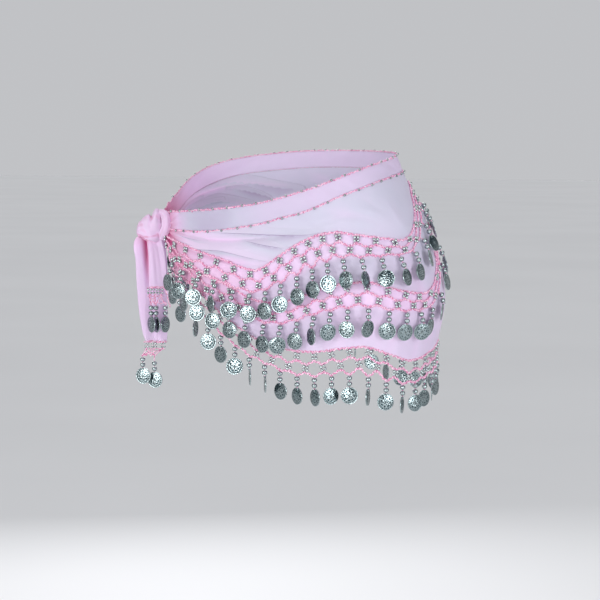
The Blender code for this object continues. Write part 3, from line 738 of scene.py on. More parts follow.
def cloth_tint(way, height):
    """How pink the cloth is: most where it is gathered at the knot, more behind the nets and towards the
    hem, with painted shade under the knot.
    """
    reach = np.hypot(from_knot(way), height - GATHER_HEIGHT)
    gap = np.hypot(from_knot(way) - GAP_WAY, height - GAP_HEIGHT)
    tint = BASE_TINT + LOW_TINT * np.clip((LOW_FROM - height) / LOW_REACH, 0, 1)
    # The gap term paints shade under the knot.
    tint += sum(pink * soft(reach, spread) for pink, spread in KNOT_PINKS) + GAP_TINT * soft(gap, GAP_REACH)
    for tier in (1, 2):
        above = tier_top(way, tier) - height
        into = np.minimum(above, net_height(way, tier) - above)
        tint += NET_TINT * np.clip(into / NET_TINT_EDGE + 0.5, 0, 1)
    return tint


def tuck_line(tuck, near, shift):
    """A tuck's lower edge at ways from the knot: its depth below the band, and its fullness."""
    start, end, *line, _, _ = tuck
    places = tuple(zip(np.linspace(start + shift, end + shift, len(line)), line))
    share = np.clip((near - start - shift) / (end - start), 0, 1)
    return read(places, np.clip(near, start + shift, end + shift), 1) * MM, np.sin(math.pi * share)


def tuck_shade(way, height):
    """How much darker the cloth is just under the tucks."""
    total = np.zeros(height.shape)
    for tuck in TUCKS:
        depth, fullness = tuck_line(tuck, from_knot(way) / MM, 0)
        under = band_edge(way, False) - depth - height
        total += np.clip(fullness, 0, 1) * np.where(under > 0, np.exp(-under / TUCK_SHADE_REACH), 0)
    return TUCK_SHADE * np.minimum(total, 1)


def add_tuck(heap, tuck, mirrored, shift):
    """A fold of the cloth with an open lower edge."""
    start, end, *_, rise, width = tuck
    near = np.linspace(start + shift, end + shift, int((end - start) / TUCK_STEP))
    depth, fullness = tuck_line(tuck, near, shift)
    taper = np.maximum(fullness, 0) ** 0.6
    up, share, tint = np.array(TUCK_SECTION).T[:, :, None]
    way = GIRTH - near * MM if mirrored else near * MM
    height = band_edge(way, False) - depth + up * (0.5 + 0.5 * taper) * width * MM
    height = np.minimum(height, band_edge(way, False) - SEAM)
    lift = (rise * taper * share - TUCK_SINK * (1 - taper)) * MM
    way = np.broadcast_to(way, height.shape)
    # The tint column paints a dark line of shade along the folded edge.
    add_cloth(heap, way, height, lift, cloth_tint(way, height) + tint * taper ** 3)


def make_cloth():
    way, height, _ = cloth_grid(lambda w: band_edge(w, False) - SEAM, lambda w: tier_top(w, 3), CLOTH_ROWS)
    troughs = np.minimum(fold_lift(way, height) / MM, 0)
    heap = Heap()
    # Fold troughs are tinted pinker and darker, partly as painted crease shade; under the tucks the cloth
    # gets painted shade.
    add_cloth(heap, way, height, 0.0,
              cloth_tint(way, height) - CREASE_PINK_AND_SHADE * troughs - tuck_shade(way, height))
    for i, tuck in enumerate(TUCKS):
        add_tuck(heap, tuck, False, 0)
        add_tuck(heap, tuck, True, TUCK_SHIFT * math.sin(2.9 * i))
    return heap.build("chiffon_cloth", CHIFFON, "chiffon")


def make_waistband():
    way, height, share = cloth_grid(lambda w: band_edge(w, True), lambda w: band_edge(w, False) + SEAM,
                                    BAND_ROWS)
    diagonal = way * 0.9 + height * 1.4
    wrinkle = (WRINKLE * np.sin(diagonal / WRINKLE_PITCH + 2 * np.sin(way / WRINKLE_SWAY))
               + PUCKER * np.sin(diagonal / PUCKER_PITCH + 1.0)) * np.sin(math.pi * share)
    sheer = BAND_SHEER * soft(way - BAND_SHEER_WAY, BAND_SHEER_REACH)
    heap = Heap()
    add_cloth(heap, way, height, wrinkle, cloth_tint(way, height) + BAND_TINT - sheer)
    return heap.build("chiffon_waistband", SHEER, "chiffon")


def make_band_edging():
    """Crocheted edges of the waistband with picots and small beads."""
    threads, beads = Heap(), Heap()
    ends = CLOTH_START + EDGING_START
    ways = np.linspace(ends, GIRTH - ends, 1500)
    scallop = SCALLOP * np.abs(np.sin(math.pi * ways / SCALLOP_PITCH))
    for upper, phase, beads_up in ((True, 0.35, 1.0), (False, 0.8, -0.9)):
        sign = 1 if upper else -1
        heights = band_edge(ways, upper) + sign * scallop
        line, away = place(ways, heights, EDGING_OUT), outward(ways, heights)
        add_crochet(threads, line, EDGING_RADIUS, away)
        add_picots(threads, line, away, sign * UP, SCALLOP_PITCH, BAND_PICOT)
        count = int(GIRTH / BAND_BEAD_PITCH)
        at = (np.arange(count) + phase) * BAND_BEAD_PITCH + RNG.uniform(-2.0, 2.0, count) * MM
        at = at[(at > BAND_BEADS_START) & (at < GIRTH - BAND_BEADS_START)]
        level = band_edge(at, upper) + beads_up * MM
        roll = RNG.uniform(-0.6, 0.6, len(at)) + math.pi / 2
        centres = place(at, level, BAND_BEAD_OUT)
        add_copies(beads, SEED, centres, frames_at(at, level, roll), BAND_BEAD_RADIUS)
    return (threads.build("waistband_edging", THREAD, "crochet_thread"),
            beads.build("waistband_beads", SMALL_SILVER, "silver"))


# ---- nets
def wave(turns):
    """A soft wave, 0 at whole turns and 1 half way between them."""
    return 0.5 - 0.5 * np.cos(2 * math.pi * turns)


def between(number, at_whole, at_half):
    """A soft wave between its values at whole and at half numbers."""
    return at_whole + (at_half - at_whole) * wave(number)


def net_scale(way, tier):
    """How high a net is, as a share of its full height."""
    return np.minimum(net_height(way, tier), NET_MOST) / NET_FULL


def net_line(number, tier, cord):
    """Way and height of the top, middle or bottom cord at a number."""
    way = number_way(number, tier)
    scale = net_scale(way, tier)
    if cord == "top":
        drop = TOP_SCALLOP * wave(number * 4) - (HEM_OVERLAP if tier == 3 else 0)
    elif cord == "middle":
        drop = between(number, MID_PEAK, MID_DIP) * scale
    else:
        drop = between(number, net_height(way, tier), LOW_PEAK * scale)
    return way, tier_top(way, tier) - drop


def tier_out(tier):
    """How far the cords' middles stand outside the cloth."""
    return HEM_NET_OUT if tier == 3 else CORD_OUT


def make_net(tier):
    """Three cords with picots, and two rows of clusters on pairs of threads between them."""
    threads, seeds = Heap(), Heap()
    numbers = np.linspace(-0.12, PITCHES + 0.12, PITCHES * 24)
    base = tier_out(tier)
    for cord in ("top", "middle", "bottom"):
        way, height = net_line(numbers, tier, cord)
        on_hem = tier == 3 and cord == "top"
        line, away = hang(way, height, base + (HEM_CORD_OUT if on_hem else 0)), outward(way, height)
        add_crochet(threads, line, HEM_CORD_RADIUS if on_hem else CORD_RADIUS, away)
        add_picots(threads, line, away, UP if cord == "top" else -UP, NET_PICOT_PITCH, NET_PICOT)
    whole, half = np.arange(0, PITCHES + 1, dtype=float), np.arange(PITCHES) + 0.5
    for row, upper, lower, offset in ((whole, "top", "middle", ROW_1), (half, "middle", "bottom", ROW_2)):
        way = number_way(row, tier)
        height = tier_top(way, tier) - offset * net_scale(way, tier)
        frames = frames_at(way, height, RNG.uniform(-0.5, 0.5, len(row)))
        centres = hang(way, height, base + CLUSTER_OUT)
        add_clusters(seeds, centres, frames, SEED_APART, SEED_APART * 0.96, SEED_RADIUS)
        starts, ends = (hang(*net_line(row, tier, cord), base) for cord in (upper, lower))
        for start, centre, end, (side, out, up) in zip(starts, centres, ends, frames):
            for across in (-SEED_APART, SEED_APART):
                line = [start, centre + side * across + up * SEED_APART,
                        centre + side * across - up * SEED_APART, end]
                add_tube(threads, np.array(line), THREAD_RADIUS, out, 5)
    return (threads.build(f"net_{tier}", HEM_THREAD if tier == 3 else THREAD, "crochet_thread"),
            seeds.build(f"net_{tier}_beads", CLUSTER_SILVER, "silver"))


# ---- coins and drops
COIN_STEPS = 40
COIN_RINGS = (0.9, 1.8, 2.7, 3.6, 4.5, 5.4, 6.2, 6.8, 7.3, 8.3, 8.8, 9.3, 9.9)
COIN_BASE, COIN_RIM, RIM_FROM = 0.30, 0.52, 9.0
COIN_DOME = 0.55              # how far the rim lies behind the coin's middle, on the face
DASHES, DASH_RISE, DASHES_FROM, DASHES_TO = 20, 0.26, 7.5, 8.6
STAMPED = (
    # ring, petals, star and boss: rise, radius, half width, waves round it, their depth and turn
    (0.26, 6.7, 0.35, 0, 0, 0),
    (0.30, 4.3, 0.62, 8, 0.9, 0),
    (0.22, 2.4, 0.5, 4, 0.8, 0.7),
    (0.3, 0, 1.1, 0, 0, 0),
)
COIN_SWAY = 5                                         # degrees to either side
WIRE, WIRE_RADIUS, WIRE_RISE = 0.3 * MM, 1.7 * MM, 0.1 * MM     # the ring that a coin hangs from
EYE, EYE_RADIUS, EYE_RISE = 0.62 * MM, 1.15 * MM, 8.1 * MM      # the eye near a coin's rim
DROP_CORD_RADIUS = 0.62 * MM


def coin_relief(radius, angle):
    """Height of the stamped face: raised rim, ring of dashes, ring, rosette and boss."""
    face = COIN_BASE
    for rise, at, half_width, waves, depth, turn in STAMPED:
        away = radius - at - depth * np.cos(waves * angle + turn)
        face = face + rise * soft(away, half_width)
    dashes = COIN_BASE + DASH_RISE * (np.cos(DASHES * angle) > 0)
    face = np.where((radius > DASHES_FROM) & (radius < DASHES_TO), dashes, face)
    return np.where(radius > RIM_FROM, COIN_RIM, face)


def coin_template():
    """Points and faces, tones and cloth coordinates of a domed coin, stamped on both faces."""
    angles = 2 * math.pi * np.arange(COIN_STEPS) / COIN_STEPS
    radius, angle = np.meshgrid(COIN_RINGS, angles, indexing="ij")
    relief, centre = coin_relief(radius, angle), float(coin_relief(0.0, 0.0))
    dome = COIN_DOME * (radius / COIN_RINGS[-1]) ** 2
    points, tones = [], []
    for sign in (1, -1):
        face = np.stack([radius * np.sin(angle), sign * relief - dome, radius * np.cos(angle)], -1)
        points += [[[0, sign * centre, 0]], face.reshape(-1, 3)]
        tones += [[centre], relief.ravel()]
    points = np.concatenate(points)
    count = len(points) // 2
    edge = count - COIN_STEPS
    faces = grid_faces(len(COIN_RINGS), COIN_STEPS, 1, flip=True, closed=True)
    faces += grid_faces(len(COIN_RINGS), COIN_STEPS, 1 + count, closed=True)
    for i in range(COIN_STEPS):
        j = (i + 1) % COIN_STEPS
        faces += [(1 + i, 1 + j, 0), (count, count + 1 + j, count + 1 + i),
                  (edge + i, edge + j, count + edge + j, count + edge + i)]
    tones = np.clip((np.concatenate(tones) - COIN_BASE) / DASH_RISE, 0, 1)
    return (points * MM, faces), tones, points[:, [0, 2]] / 20 + 0.5


def turn_about(vectors, axis, angle):
    """Vectors turned about a unit axis."""
    cosine, sine = math.cos(angle), math.sin(angle)
    return (vectors * cosine + np.cross(axis, vectors) * sine
            + np.outer(vectors @ axis, axis) * (1 - cosine))


COIN, COIN_TONES, COIN_UV = coin_template()


def add_ring(heap, centre, normal, up, radius, wire, steps=12, sides=4):
    """A small wire ring."""
    side = np.cross(normal, up)
    angle = 2 * math.pi * np.arange(steps) / steps
    spokes = np.outer(np.cos(angle), up) + np.outer(np.sin(angle), side)
    turns = [2 * math.pi * i / sides for i in range(sides)]
    points = [centre + spokes * (radius + wire * math.cos(t)) + normal * (wire * math.sin(t)) for t in turns]
    faces = []
    for i in range(sides):
        row, after = i * steps, (i + 1) % sides * steps
        faces += [(row + s, row + (s + 1) % steps, after + (s + 1) % steps, after + s) for s in range(steps)]
    heap.add(np.concatenate(points), faces, 0.9)


class Drops:
    """Heaps of the beads, coins and threads of one row of drops."""

    def __init__(self):
        self.beads, self.coins, self.threads = Heap(), Heap(), Heap()

    def add(self, line, root, side, out, turn):
        """One drop. line gives the place at a depth; root is where its thread leaves the net."""
        bead_1, bead_2, top = line(BEAD_1), line(BEAD_2), line(COIN_TOP)
        down = unit(line(COIN_CENTRE + COIN_RADIUS) - line(COIN_CENTRE - COIN_RADIUS))
        face_side = side * math.cos(turn) - out * math.sin(turn)
        face_side = unit(face_side - down * face_side.dot(down))
        face_out = np.cross(down, face_side)
        if face_out.dot(out) < 0:
            face_out = -face_out
        sway = math.radians(RNG.uniform(-COIN_SWAY, COIN_SWAY))
        lean = turn_about(np.array([face_side, face_out, -down]), face_out, sway)
        centre = top - lean[2] * (COIN_CENTRE - COIN_TOP)
        frames = turn_about(lean, lean[1], math.radians(RNG.uniform(0, 360)))
        add_copies(self.coins, COIN, centre[None], frames[None], 1.0, COIN_TONES, COIN_UV)
        for bead, above, below in ((bead_1, root, bead_1), (bead_2, bead_2, top)):
            axis = unit(below - above)
            across = unit(np.cross(axis, out))
            frames = np.array([across, np.cross(across, axis), -axis])
            add_copies(self.beads, BIG_BEAD, bead[None], frames[None], DROP_BEAD_RADIUS)
        add_ring(self.coins, top + lean[2] * WIRE_RISE, lean[0], lean[2], WIRE_RADIUS, WIRE)
        add_ring(self.coins, centre + lean[2] * EYE_RISE, lean[1], lean[2], EYE_RADIUS, EYE)
        cord = np.array([root, root * 0.45 + bead_1 * 0.55, bead_1, bead_2, top])
        add_tube(self.threads, cord, DROP_CORD_RADIUS, out, 5)

    def build(self, name):
        return (self.beads.build(f"{name}_beads", BEAD_SILVER, "silver"),
                self.coins.build(f"{name}_coins", COIN_SILVER, "silver"),
                self.threads.build(f"{name}_threads", THREAD, "crochet_thread"))


def coin_turn(number, tier):
    """How far a coin is turned, mirrored in the second half of the way round."""
    turn = math.radians(TURNS[near_number(number) - 1][tier - 1])
    return turn if number <= PITCHES / 2 else -turn


def coin_out(number, tier):
    """How far a coin's middle stands out: further where it hangs over other coins, or is turned."""
    flat = COIN_OUT[tier - 1]
    if tier == 3:
        return flat
    if tier == 1:
        share = np.clip((STACKED_LAST + STACKED_FADE - near_number(number)) / STACKED_FADE, 0, 1)
        flat += (STACKED - flat) * share
    return flat + COIN_RADIUS * abs(math.sin(coin_turn(number, tier)))


def make_drops(tier):
    """A row of drops that hang from a net's lower cord."""
    drops = Drops()
    for number in range(1, PITCHES):
        way, top = net_line(float(number), tier, "bottom")
        beads, coin = BEAD_OUT[tier - 1], coin_out(number, tier)

        def line(depth):
            share = np.clip((depth - WAIST) / (COIN_TOP - WAIST), 0, 1)
            return hang(way, top - depth, beads + (coin - beads) * share)

        out = outward(way, np.maximum(top, tier_top(way, 3)))
        side = np.array([-out[1], out[0], 0.0])
        drops.add(line, hang(way, top, tier_out(tier)), side, out, coin_turn(number, tier))
    return drops.build(f"drops_{tier}")


# ---- knot
KNOT_OUT = np.array([-math.sin(KNOT_BEARING), -math.cos(KNOT_BEARING), 0])
KNOT_SIDE = np.array([math.cos(KNOT_BEARING), -math.sin(KNOT_BEARING), 0])
KNOT_HEIGHT = -50 * MM
KNOT_ROUND, KNOT_LONG = 144, 90
# The knot's creases are tinted pinker and darker: partly the pink of its gathered layers, partly painted
# crease shade.
KNOT_TINT, DENT_PINK_AND_SHADE, DENT_DEEP, NECK_TINT, TAIL_TINT = 0.42, 0.34, 1.8, 0.3, 0.34
KNOT_ROUND_FROM, KNOT_TIP, KNOT_TIP_DROP = 37, 1.0, 2.0
NECK_TO, NECK_RUN, NECK_PLEAT, KNOT_PLEAT, KNOT_PLEATS = 12, 10, 0.7, 0.22, 11
BACK_SHARE, BACK_SHIFT = 0.93, 2.5        # how the creases are shifted on the knot's back
KNOT_FORM = (
    # way out, lowest, highest, half depth: the knot with its gathered neck, which the band enters
    (-1.0, -50, -34, 4.5),
    (4.0, -54, -31, 9),
    (9.0, -62, -30, 12),
    (13, -68, -29.5, 14.5),
    (18, -71.5, -27.3, 16.5),
    (22, -71, -31.5, 17.5),
    (24.5, -70, -35.8, 18),
    (27.5, -68.5, -34.2, 18),
    (31, -66.5, -35.6, 17),
    (35, -64.4, -39, 15),
    (38.5, -61.8, -44.5, 11.5),
    (41.3, -58.8, -50, 6),
)
# Creases on the knot's face: way out and height of their ends, depth, half width.
KNOT_CREASES = (
    (10.8, -31, 10.4, -43, 3.4, 1.3),
    (42, -61, 30, -65.2, 2.2, 1.2),
    (30, -65.2, 20, -69.2, 1.8, 1.3),
    (42, -58, 33, -61.6, 1.0, 1.3),
    (33, -61.6, 25, -60.8, 1.1, 1.3),
    (25, -60.8, 17, -59.2, 1.0, 1.3),
    (25, -32, 23, -39, 1.6, 1.6),
    (23, -39, 26, -47, 0.6, 2.2),
    (38, -43, 29, -51, 0.6, 2.4),
    (17, -31, 14, -46, 0.6, 2.4),
    (17, -55, 13, -62, 0.8, 1.6),
)
KNOT_RIDGES = (
    (34, -42, 22, -56, 1.0, 5.5),
    (18, -34, 14, -52, 0.9, 4.0),
    (31, -63.4, 16, -64, 0.7, 2.0),
    (18.5, -27, 19.5, -33, 0.8, 2.6),
)
# The turn of cloth in front of the neck: way out, side, height, radius.
KNOT_LOOP = (
    (15, 9, -31, 2.6),
    (10, 14, -32.2, 4.2),
    (6.2, 17.5, -36.5, 5.4),
    (4.9, 19, -43.5, 5.8),
    (5.8, 18, -50, 5.8),
    (8.8, 14.5, -56, 5.4),
    (12.5, 9.5, -61, 4.6),
    (17, 4, -64, 3.0),
)
LOOP_ALONG, LOOP_ROUND, LOOP_FLAT = 60, 40, 0.75


def knot_place(out, side, height):
    """A point beside the knot: way out from the cloth, way to the front, height."""
    origin = section_point(angle_at(np.zeros(1)), np.full(1, KNOT_HEIGHT))[0]
    out, side, height = np.broadcast_arrays(np.asarray(out, float), side, height)
    return ((*origin, 0.0) + out[..., None] * KNOT_OUT + side[..., None] * KNOT_SIDE
            + height[..., None] * UP)


def along_creases(out, height, creases):
    """The sum of the creases' depths at points of the knot's face."""
    total = np.zeros(out.shape)
    for out_1, height_1, out_2, height_2, depth, half_width in creases:
        run, rise = out_2 - out_1, height_2 - height_1
        length = math.hypot(run, rise)
        along = ((out - out_1) * run + (height - height_1) * rise) / length ** 2
        nearest = np.clip(along, 0, 1)
        away = np.hypot(out - out_1 - run * nearest, height - height_1 - rise * nearest)
        taper = 0.45 + 0.55 * np.sin(math.pi * nearest)
        total += depth * taper * soft(away, half_width)
    return total


def bearings(steps):
    """Bearings round a ring of points, as one row."""
    return (2 * math.pi * np.arange(steps) / steps)[None, :]


def add_loop(heap):
    """A flattened turn of cloth, whose pleats run along it."""
    rows = np.column_stack([np.arange(len(KNOT_LOOP)), KNOT_LOOP])
    at = np.linspace(0, len(KNOT_LOOP) - 1, LOOP_ALONG)
    out, side, height, radius = (read(rows, at, c)[:, None] for c in (1, 2, 3, 4))
    run, rise = np.gradient(out, axis=0), np.gradient(height, axis=0)
    length = np.hypot(run, rise)
    around = bearings(LOOP_ROUND)
    pleat = 0.3 * np.sin(5 * around + 0.9) + 0.15 * np.sin(9 * around + at[:, None])
    across = (radius + pleat) * np.cos(around)
    forward = (radius + pleat) * LOOP_FLAT * np.sin(around)
    points = knot_place((out + across * rise / length) * MM, (side + forward) * MM,
                        (height - across * run / length) * MM)
    # The loop's back side is tinted a little pinker and darker as painted shade; its pleats shift the tint
    # along them.
    tint = KNOT_TINT - 0.1 * pleat + 0.1 * np.clip(-np.sin(around), 0, 1)
    uvs = np.stack(np.broadcast_arrays(around * 0.006, at[:, None] * 0.005), -1)
    heap.add(points, tube_faces(LOOP_ALONG, LOOP_ROUND), tint, uvs)


def make_knot():
    """A rounded wad of wrapped cloth, with its creases pressed in and its turns standing out."""
    first, last = KNOT_FORM[0][0], KNOT_FORM[-1][0] + KNOT_TIP
    share = np.linspace(0, 1, KNOT_LONG)[:, None]
    around = bearings(KNOT_ROUND)
    out = first + (last - first) * np.sin(share * math.pi / 2)
    low, high, depth = (read(KNOT_FORM, np.minimum(out, KNOT_ROUND_FROM), c) for c in (1, 2, 3))
    closing = np.clip((out - KNOT_ROUND_FROM) / (last - KNOT_ROUND_FROM), 0, 1)
    full = np.sqrt(np.maximum(1 - closing ** 2.2, 0.0004))
    half, deep = (high - low) / 2 * full, depth * full
    middle = (low + high) / 2 - closing * KNOT_TIP_DROP
    side, height = deep * np.sin(around), middle + half * np.cos(around)
    where = np.broadcast_to(out, side.shape)
    face = np.where(side > 0, where, where * BACK_SHARE + BACK_SHIFT)
    dent = along_creases(face, height, KNOT_CREASES) - along_creases(face, height, KNOT_RIDGES)
    dent += 0.30 * np.sin(where / 2.1 + 3 * around) * np.sin(2.0 * around + where / 7)
    neck = np.clip((NECK_TO - where) / NECK_RUN, 0, 1)
    dent += (KNOT_PLEAT + NECK_PLEAT * neck) * np.sin(KNOT_PLEATS * around + 0.25 * where)
    size = np.maximum(np.hypot(half * np.cos(around), deep * np.sin(around)), 3.0)
    shrink = np.clip(1 - dent / size, 0.5, 1.25)
    side, height = side * shrink, middle + (height - middle) * shrink
    uvs = np.stack(np.broadcast_arrays(around * 0.018, where * MM), -1)
    # Creases get pinker and darker: partly gathered pink, partly painted shade.
    tint = KNOT_TINT + DENT_PINK_AND_SHADE * np.clip(dent / DENT_DEEP, -0.2, 1.2) + NECK_TINT * neck
    heap = Heap()
    heap.add(knot_place(where * MM, side * MM, height * MM), tube_faces(KNOT_LONG, KNOT_ROUND), tint, uvs)
    add_loop(heap)
    return heap.build("chiffon_knot", GATHERED, "chiffon")


def knot_underside(out, side):
    """Height of the knot's underside, as constructed, where the tails leave it."""
    low, high, half_depth = (read(KNOT, out / MM, c) * MM for c in (1, 2, 3))
    share = np.minimum(np.abs(side) / half_depth, 0.95)
    return (low + high) / 2 - (high - low) / 2 * np.sqrt(1 - share ** 2)


# ---- tails
TAIL_COLUMNS, TAIL_ROWS = 90, 60
TAIL_GROOVE, GROOVE_OUT, GROOVE_HALF = 3.6, 30.6, 3.3
GROOVE_END, GROOVE_RUN = -128 * MM, 45 * MM
# The groove is tinted darker rose: partly the pink of the folded cloth, partly painted shade in the crease.
GROOVE_PINK_AND_SHADE, LIFT_TINT = 0.48, 0.2
GROOVE_SWAY, GROOVE_SWAY_PITCH, TAIL_SWAY_PITCH = 1.5, 30 * MM, 27 * MM
TAIL_LIFT_FADE = 14                       # how fast the tops' rise into the knot fades downwards
TAIL_HEM_GAP, TAIL_HEM_DROP, TAIL_MIDDLE = 0.3 * MM, 0.4 * MM, 0.55
TAIL_SAG, TAIL_LOW_SAG = 1.4 * MM, 2.2 * MM
UNDER_KNOT = 1.6 * MM                     # how far the tails' tops reach into the knot
TAIL_CLUSTER_DROP, TAIL_CLUSTER_ACROSS, TAIL_CLUSTER_RISE = 5.2 * MM, 1.75 * MM, 1.9 * MM
TAIL_SEED_RADIUS, TAIL_MESH_HALF = 1.7 * MM, 3.3
TAIL_HEM_RADIUS, TAIL_CORD_RADIUS, STRAND_RADIUS = 0.8 * MM, 0.6 * MM, THREAD_RADIUS * 1.4
TAIL_PICOT_PITCH, TAIL_PICOT, TAIL_SCALLOPS = 3.4 * MM, 1.4 * MM, 9


def groove(out, height):
    """The crease beside the short tail, deepest under the knot."""
    middle = GROOVE_OUT + GROOVE_SWAY * np.sin(-height / GROOVE_SWAY_PITCH)
    return soft(out - middle, GROOVE_HALF) * np.clip((height - GROOVE_END) / GROOVE_RUN, 0, 1)


def tail_shape(tail, share, height):
    """Ways out and to the front of a tail's middle layer, at a share of its width and a height."""
    rows = tuple((-row[0], *row[1:]) for row in tail["rows"])
    outer, inner = (read(rows, -height / MM, c) for c in (1, 2))
    out = outer + (inner - outer) * share
    sway = 0.5 * np.sin(-height / TAIL_SWAY_PITCH)
    wave = np.sin(math.pi * tail["waves"] * share + 0.6 + sway) * tail["amplitude"] * 0.36
    fine = (0.26 * np.sin(2 * math.pi * 3.3 * share + 3.1 * sway) * np.sin(3 * share - height / 0.03)
            + 0.02 * np.sin(2 * math.pi * 11.1 * share + 2.2))
    return out * MM, (tail["depth"] + wave + fine - TAIL_GROOVE * groove(out, height)) * MM


def make_tail(name, tail, corner, top_height):
    """A pleated sheet whose pleats run down from the knot, and the line of its hem."""
    foot = tail["rows"][-1][0] * MM
    down = np.linspace(0, 1, TAIL_ROWS)[:, None]
    level = top_height + (foot - top_height) * down
    share, level = np.broadcast_arrays(np.linspace(0, 1, TAIL_COLUMNS), level)
    out, depth = tail_shape(tail, share, level)
    before, after = (np.stack(tail_shape(tail, share + d, level), -1) for d in (-0.01, 0.01))
    run = unit(after - before)
    under = knot_underside(np.clip(out, KNOT[0][0] * MM, KNOT[-1][0] * MM), depth) + UNDER_KNOT
    lift = np.exp(-down * TAIL_LIFT_FADE)
    inner_share = np.clip((share - CORNER_FROM) / (1 - CORNER_FROM), 0, 1)
    height = level + (under - level) * lift - corner * inner_share ** 1.5 * down ** 4
    grids = [knot_place(out + run[..., 1] * shift, depth - run[..., 0] * shift, height)
             for shift in (-SHELL / 2, SHELL / 2)]
    heap = Heap()
    # The groove's tint is partly painted shade.
    add_shell(heap, *grids, np.stack([share * 0.08, height], -1),
              TAIL_TINT + LIFT_TINT * lift + GROOVE_PINK_AND_SHADE * groove(out / MM, height))
    return heap.build(name, GATHERED, "chiffon"), (grids[0][-1] + grids[1][-1]) / 2


def make_tail_trim(name, tail, clusters, drops, hem, scallop):
    """The crocheted hem, net, bead clusters and drops of a tail."""
    threads, seeds, row = Heap(), Heap(), Drops()
    top = tail["rows"][-1][0] * MM - TAIL_HEM_GAP
    middle, low = top - tail["net"] * TAIL_MIDDLE * MM, top - tail["net"] * MM
    front = (tail["depth"] + 0.2) * MM
    along = np.linspace(0, 1, len(hem))
    hem = hem - UP * (TAIL_HEM_DROP + scallop * np.abs(np.sin(along * math.pi * TAIL_SCALLOPS)))[:, None]
    add_crochet(threads, hem, TAIL_HEM_RADIUS, KNOT_SIDE)
    add_picots(threads, hem, KNOT_SIDE, -UP, TAIL_PICOT_PITCH, TAIL_PICOT)

    def at(out, height):
        return knot_place(np.asarray(out) * MM, front, height)

    frames = np.array([[-KNOT_OUT, KNOT_SIDE, UP]])
    for out in clusters:
        centre = at(out, top - TAIL_CLUSTER_DROP)
        add_clusters(seeds, centre[None], frames, TAIL_CLUSTER_ACROSS, TAIL_CLUSTER_RISE, TAIL_SEED_RADIUS)
        for side in (-1, 1):
            beside = centre - KNOT_OUT * side * TAIL_CLUSTER_ACROSS
            column = [at(out - side * TAIL_MESH_HALF, top), beside, at(out, middle)]
            add_tube(threads, np.array(column), THREAD_RADIUS, KNOT_SIDE, 5)
    sag = np.abs(np.sin(np.linspace(0, 1, 60) * len(clusters) * math.pi))
    upper = np.linspace(clusters[0] + 3, clusters[-1] - 3, 60)
    lower = np.linspace(drops[0][0] + 2, drops[-1][0] - 2, 60)
    add_crochet(threads, at(upper, middle + TAIL_SAG * sag), TAIL_CORD_RADIUS, KNOT_SIDE)
    add_crochet(threads, at(lower, low + TAIL_LOW_SAG * sag), TAIL_CORD_RADIUS, KNOT_SIDE)
    for out in clusters:
        for aim, *_ in sorted(drops, key=lambda drop: abs(drop[0] - out))[:2]:
            strand = [at(out, middle), at((out + aim) / 2 + 0.6, (middle + low) / 2), at(aim, low)]
            add_tube(threads, np.array(strand), STRAND_RADIUS, KNOT_SIDE, 5)
    for out, turn, slack in drops:
        def line(depth):
            return at(out, low - slack * MM - depth)

        row.add(line, at(out, low), -KNOT_OUT, KNOT_SIDE, math.radians(turn))
    return (threads.build(f"{name}_crochet", THREAD, "crochet_thread"),
            seeds.build(f"{name}_crochet_beads", CLUSTER_SILVER, "silver"), row.build(f"{name}_drops"))


# ---- stage, lights and camera
CAMERA_AZIMUTH, CAMERA_ELEVATION = math.radians(23), math.radians(5)
CAMERA_DISTANCE, LENS, SENSOR = 2.2, 110, 36
TARGET_RIGHT, TARGET_UP = 22.8 * MM, -136.8 * MM      # from the origin to where the camera aims
FLOOR_HEIGHT, FLOOR_HALF = -0.9, 40.0
FLOOR_RAMP = ((0.3, (0.80, 0.80, 0.82)), (0.7, (0.83, 0.83, 0.85)))
LIGHTS_AIM = (0.02, 0, -0.1)
LIGHTS = (
    # name, bearing from the front to the wearer's left, elevation, distance, size, power, colour
    ("key", -22, 7, 2.2, (0.9, 1.2), 21, (1.0, 0.99, 0.98)),
    ("fill", 68, 6, 2.4, (0.8, 1.2), 19, (0.96, 0.98, 1.0)),
    ("front", 25, 0, 2.7, (0.45, 0.7), 13, (1.0, 1.0, 1.0)),
    ("back", -150, 14, 2.2, (1.1, 1.2), 16, (1.0, 1.0, 1.0)),
)
SKY = (
    # from straight down at 0 to straight up at 1: colours of the studio
    (0.50, (0.535, 0.542, 0.562)), (0.58, (0.53, 0.537, 0.557)), (0.64, (0.10, 0.13, 0.15)),
    (0.80, (0.08, 0.10, 0.12)), (0.87, (1.08, 1.08, 1.08)), (1.0, (1.08, 1.08, 1.08)),
)


def bearing_vector(bearing, elevation):
    """From the origin, round from the front to the wearer's left, and up."""
    level = math.cos(elevation)
    return Vector((math.sin(bearing) * level, -math.cos(bearing) * level, math.sin(elevation)))


def link_object(name, data):
    item = bpy.data.objects.new(name, data)
    bpy.context.collection.objects.link(item)
    return item


def make_camera():
    """The camera: in front, a little to the wearer's left and a little above."""
    back = bearing_vector(CAMERA_AZIMUTH, CAMERA_ELEVATION)
    right = Vector((math.cos(CAMERA_AZIMUTH), math.sin(CAMERA_AZIMUTH), 0))
    up = back.cross(right)
    data = bpy.data.cameras.new("camera")
    data.lens, data.sensor_width = LENS, SENSOR
    item = link_object("camera", data)
    target = right * TARGET_RIGHT + up * TARGET_UP
    item.matrix_world = (Matrix.Translation(target + back * CAMERA_DISTANCE)
                         @ Matrix((right, up, back)).transposed().to_4x4())
    bpy.context.scene.camera = item


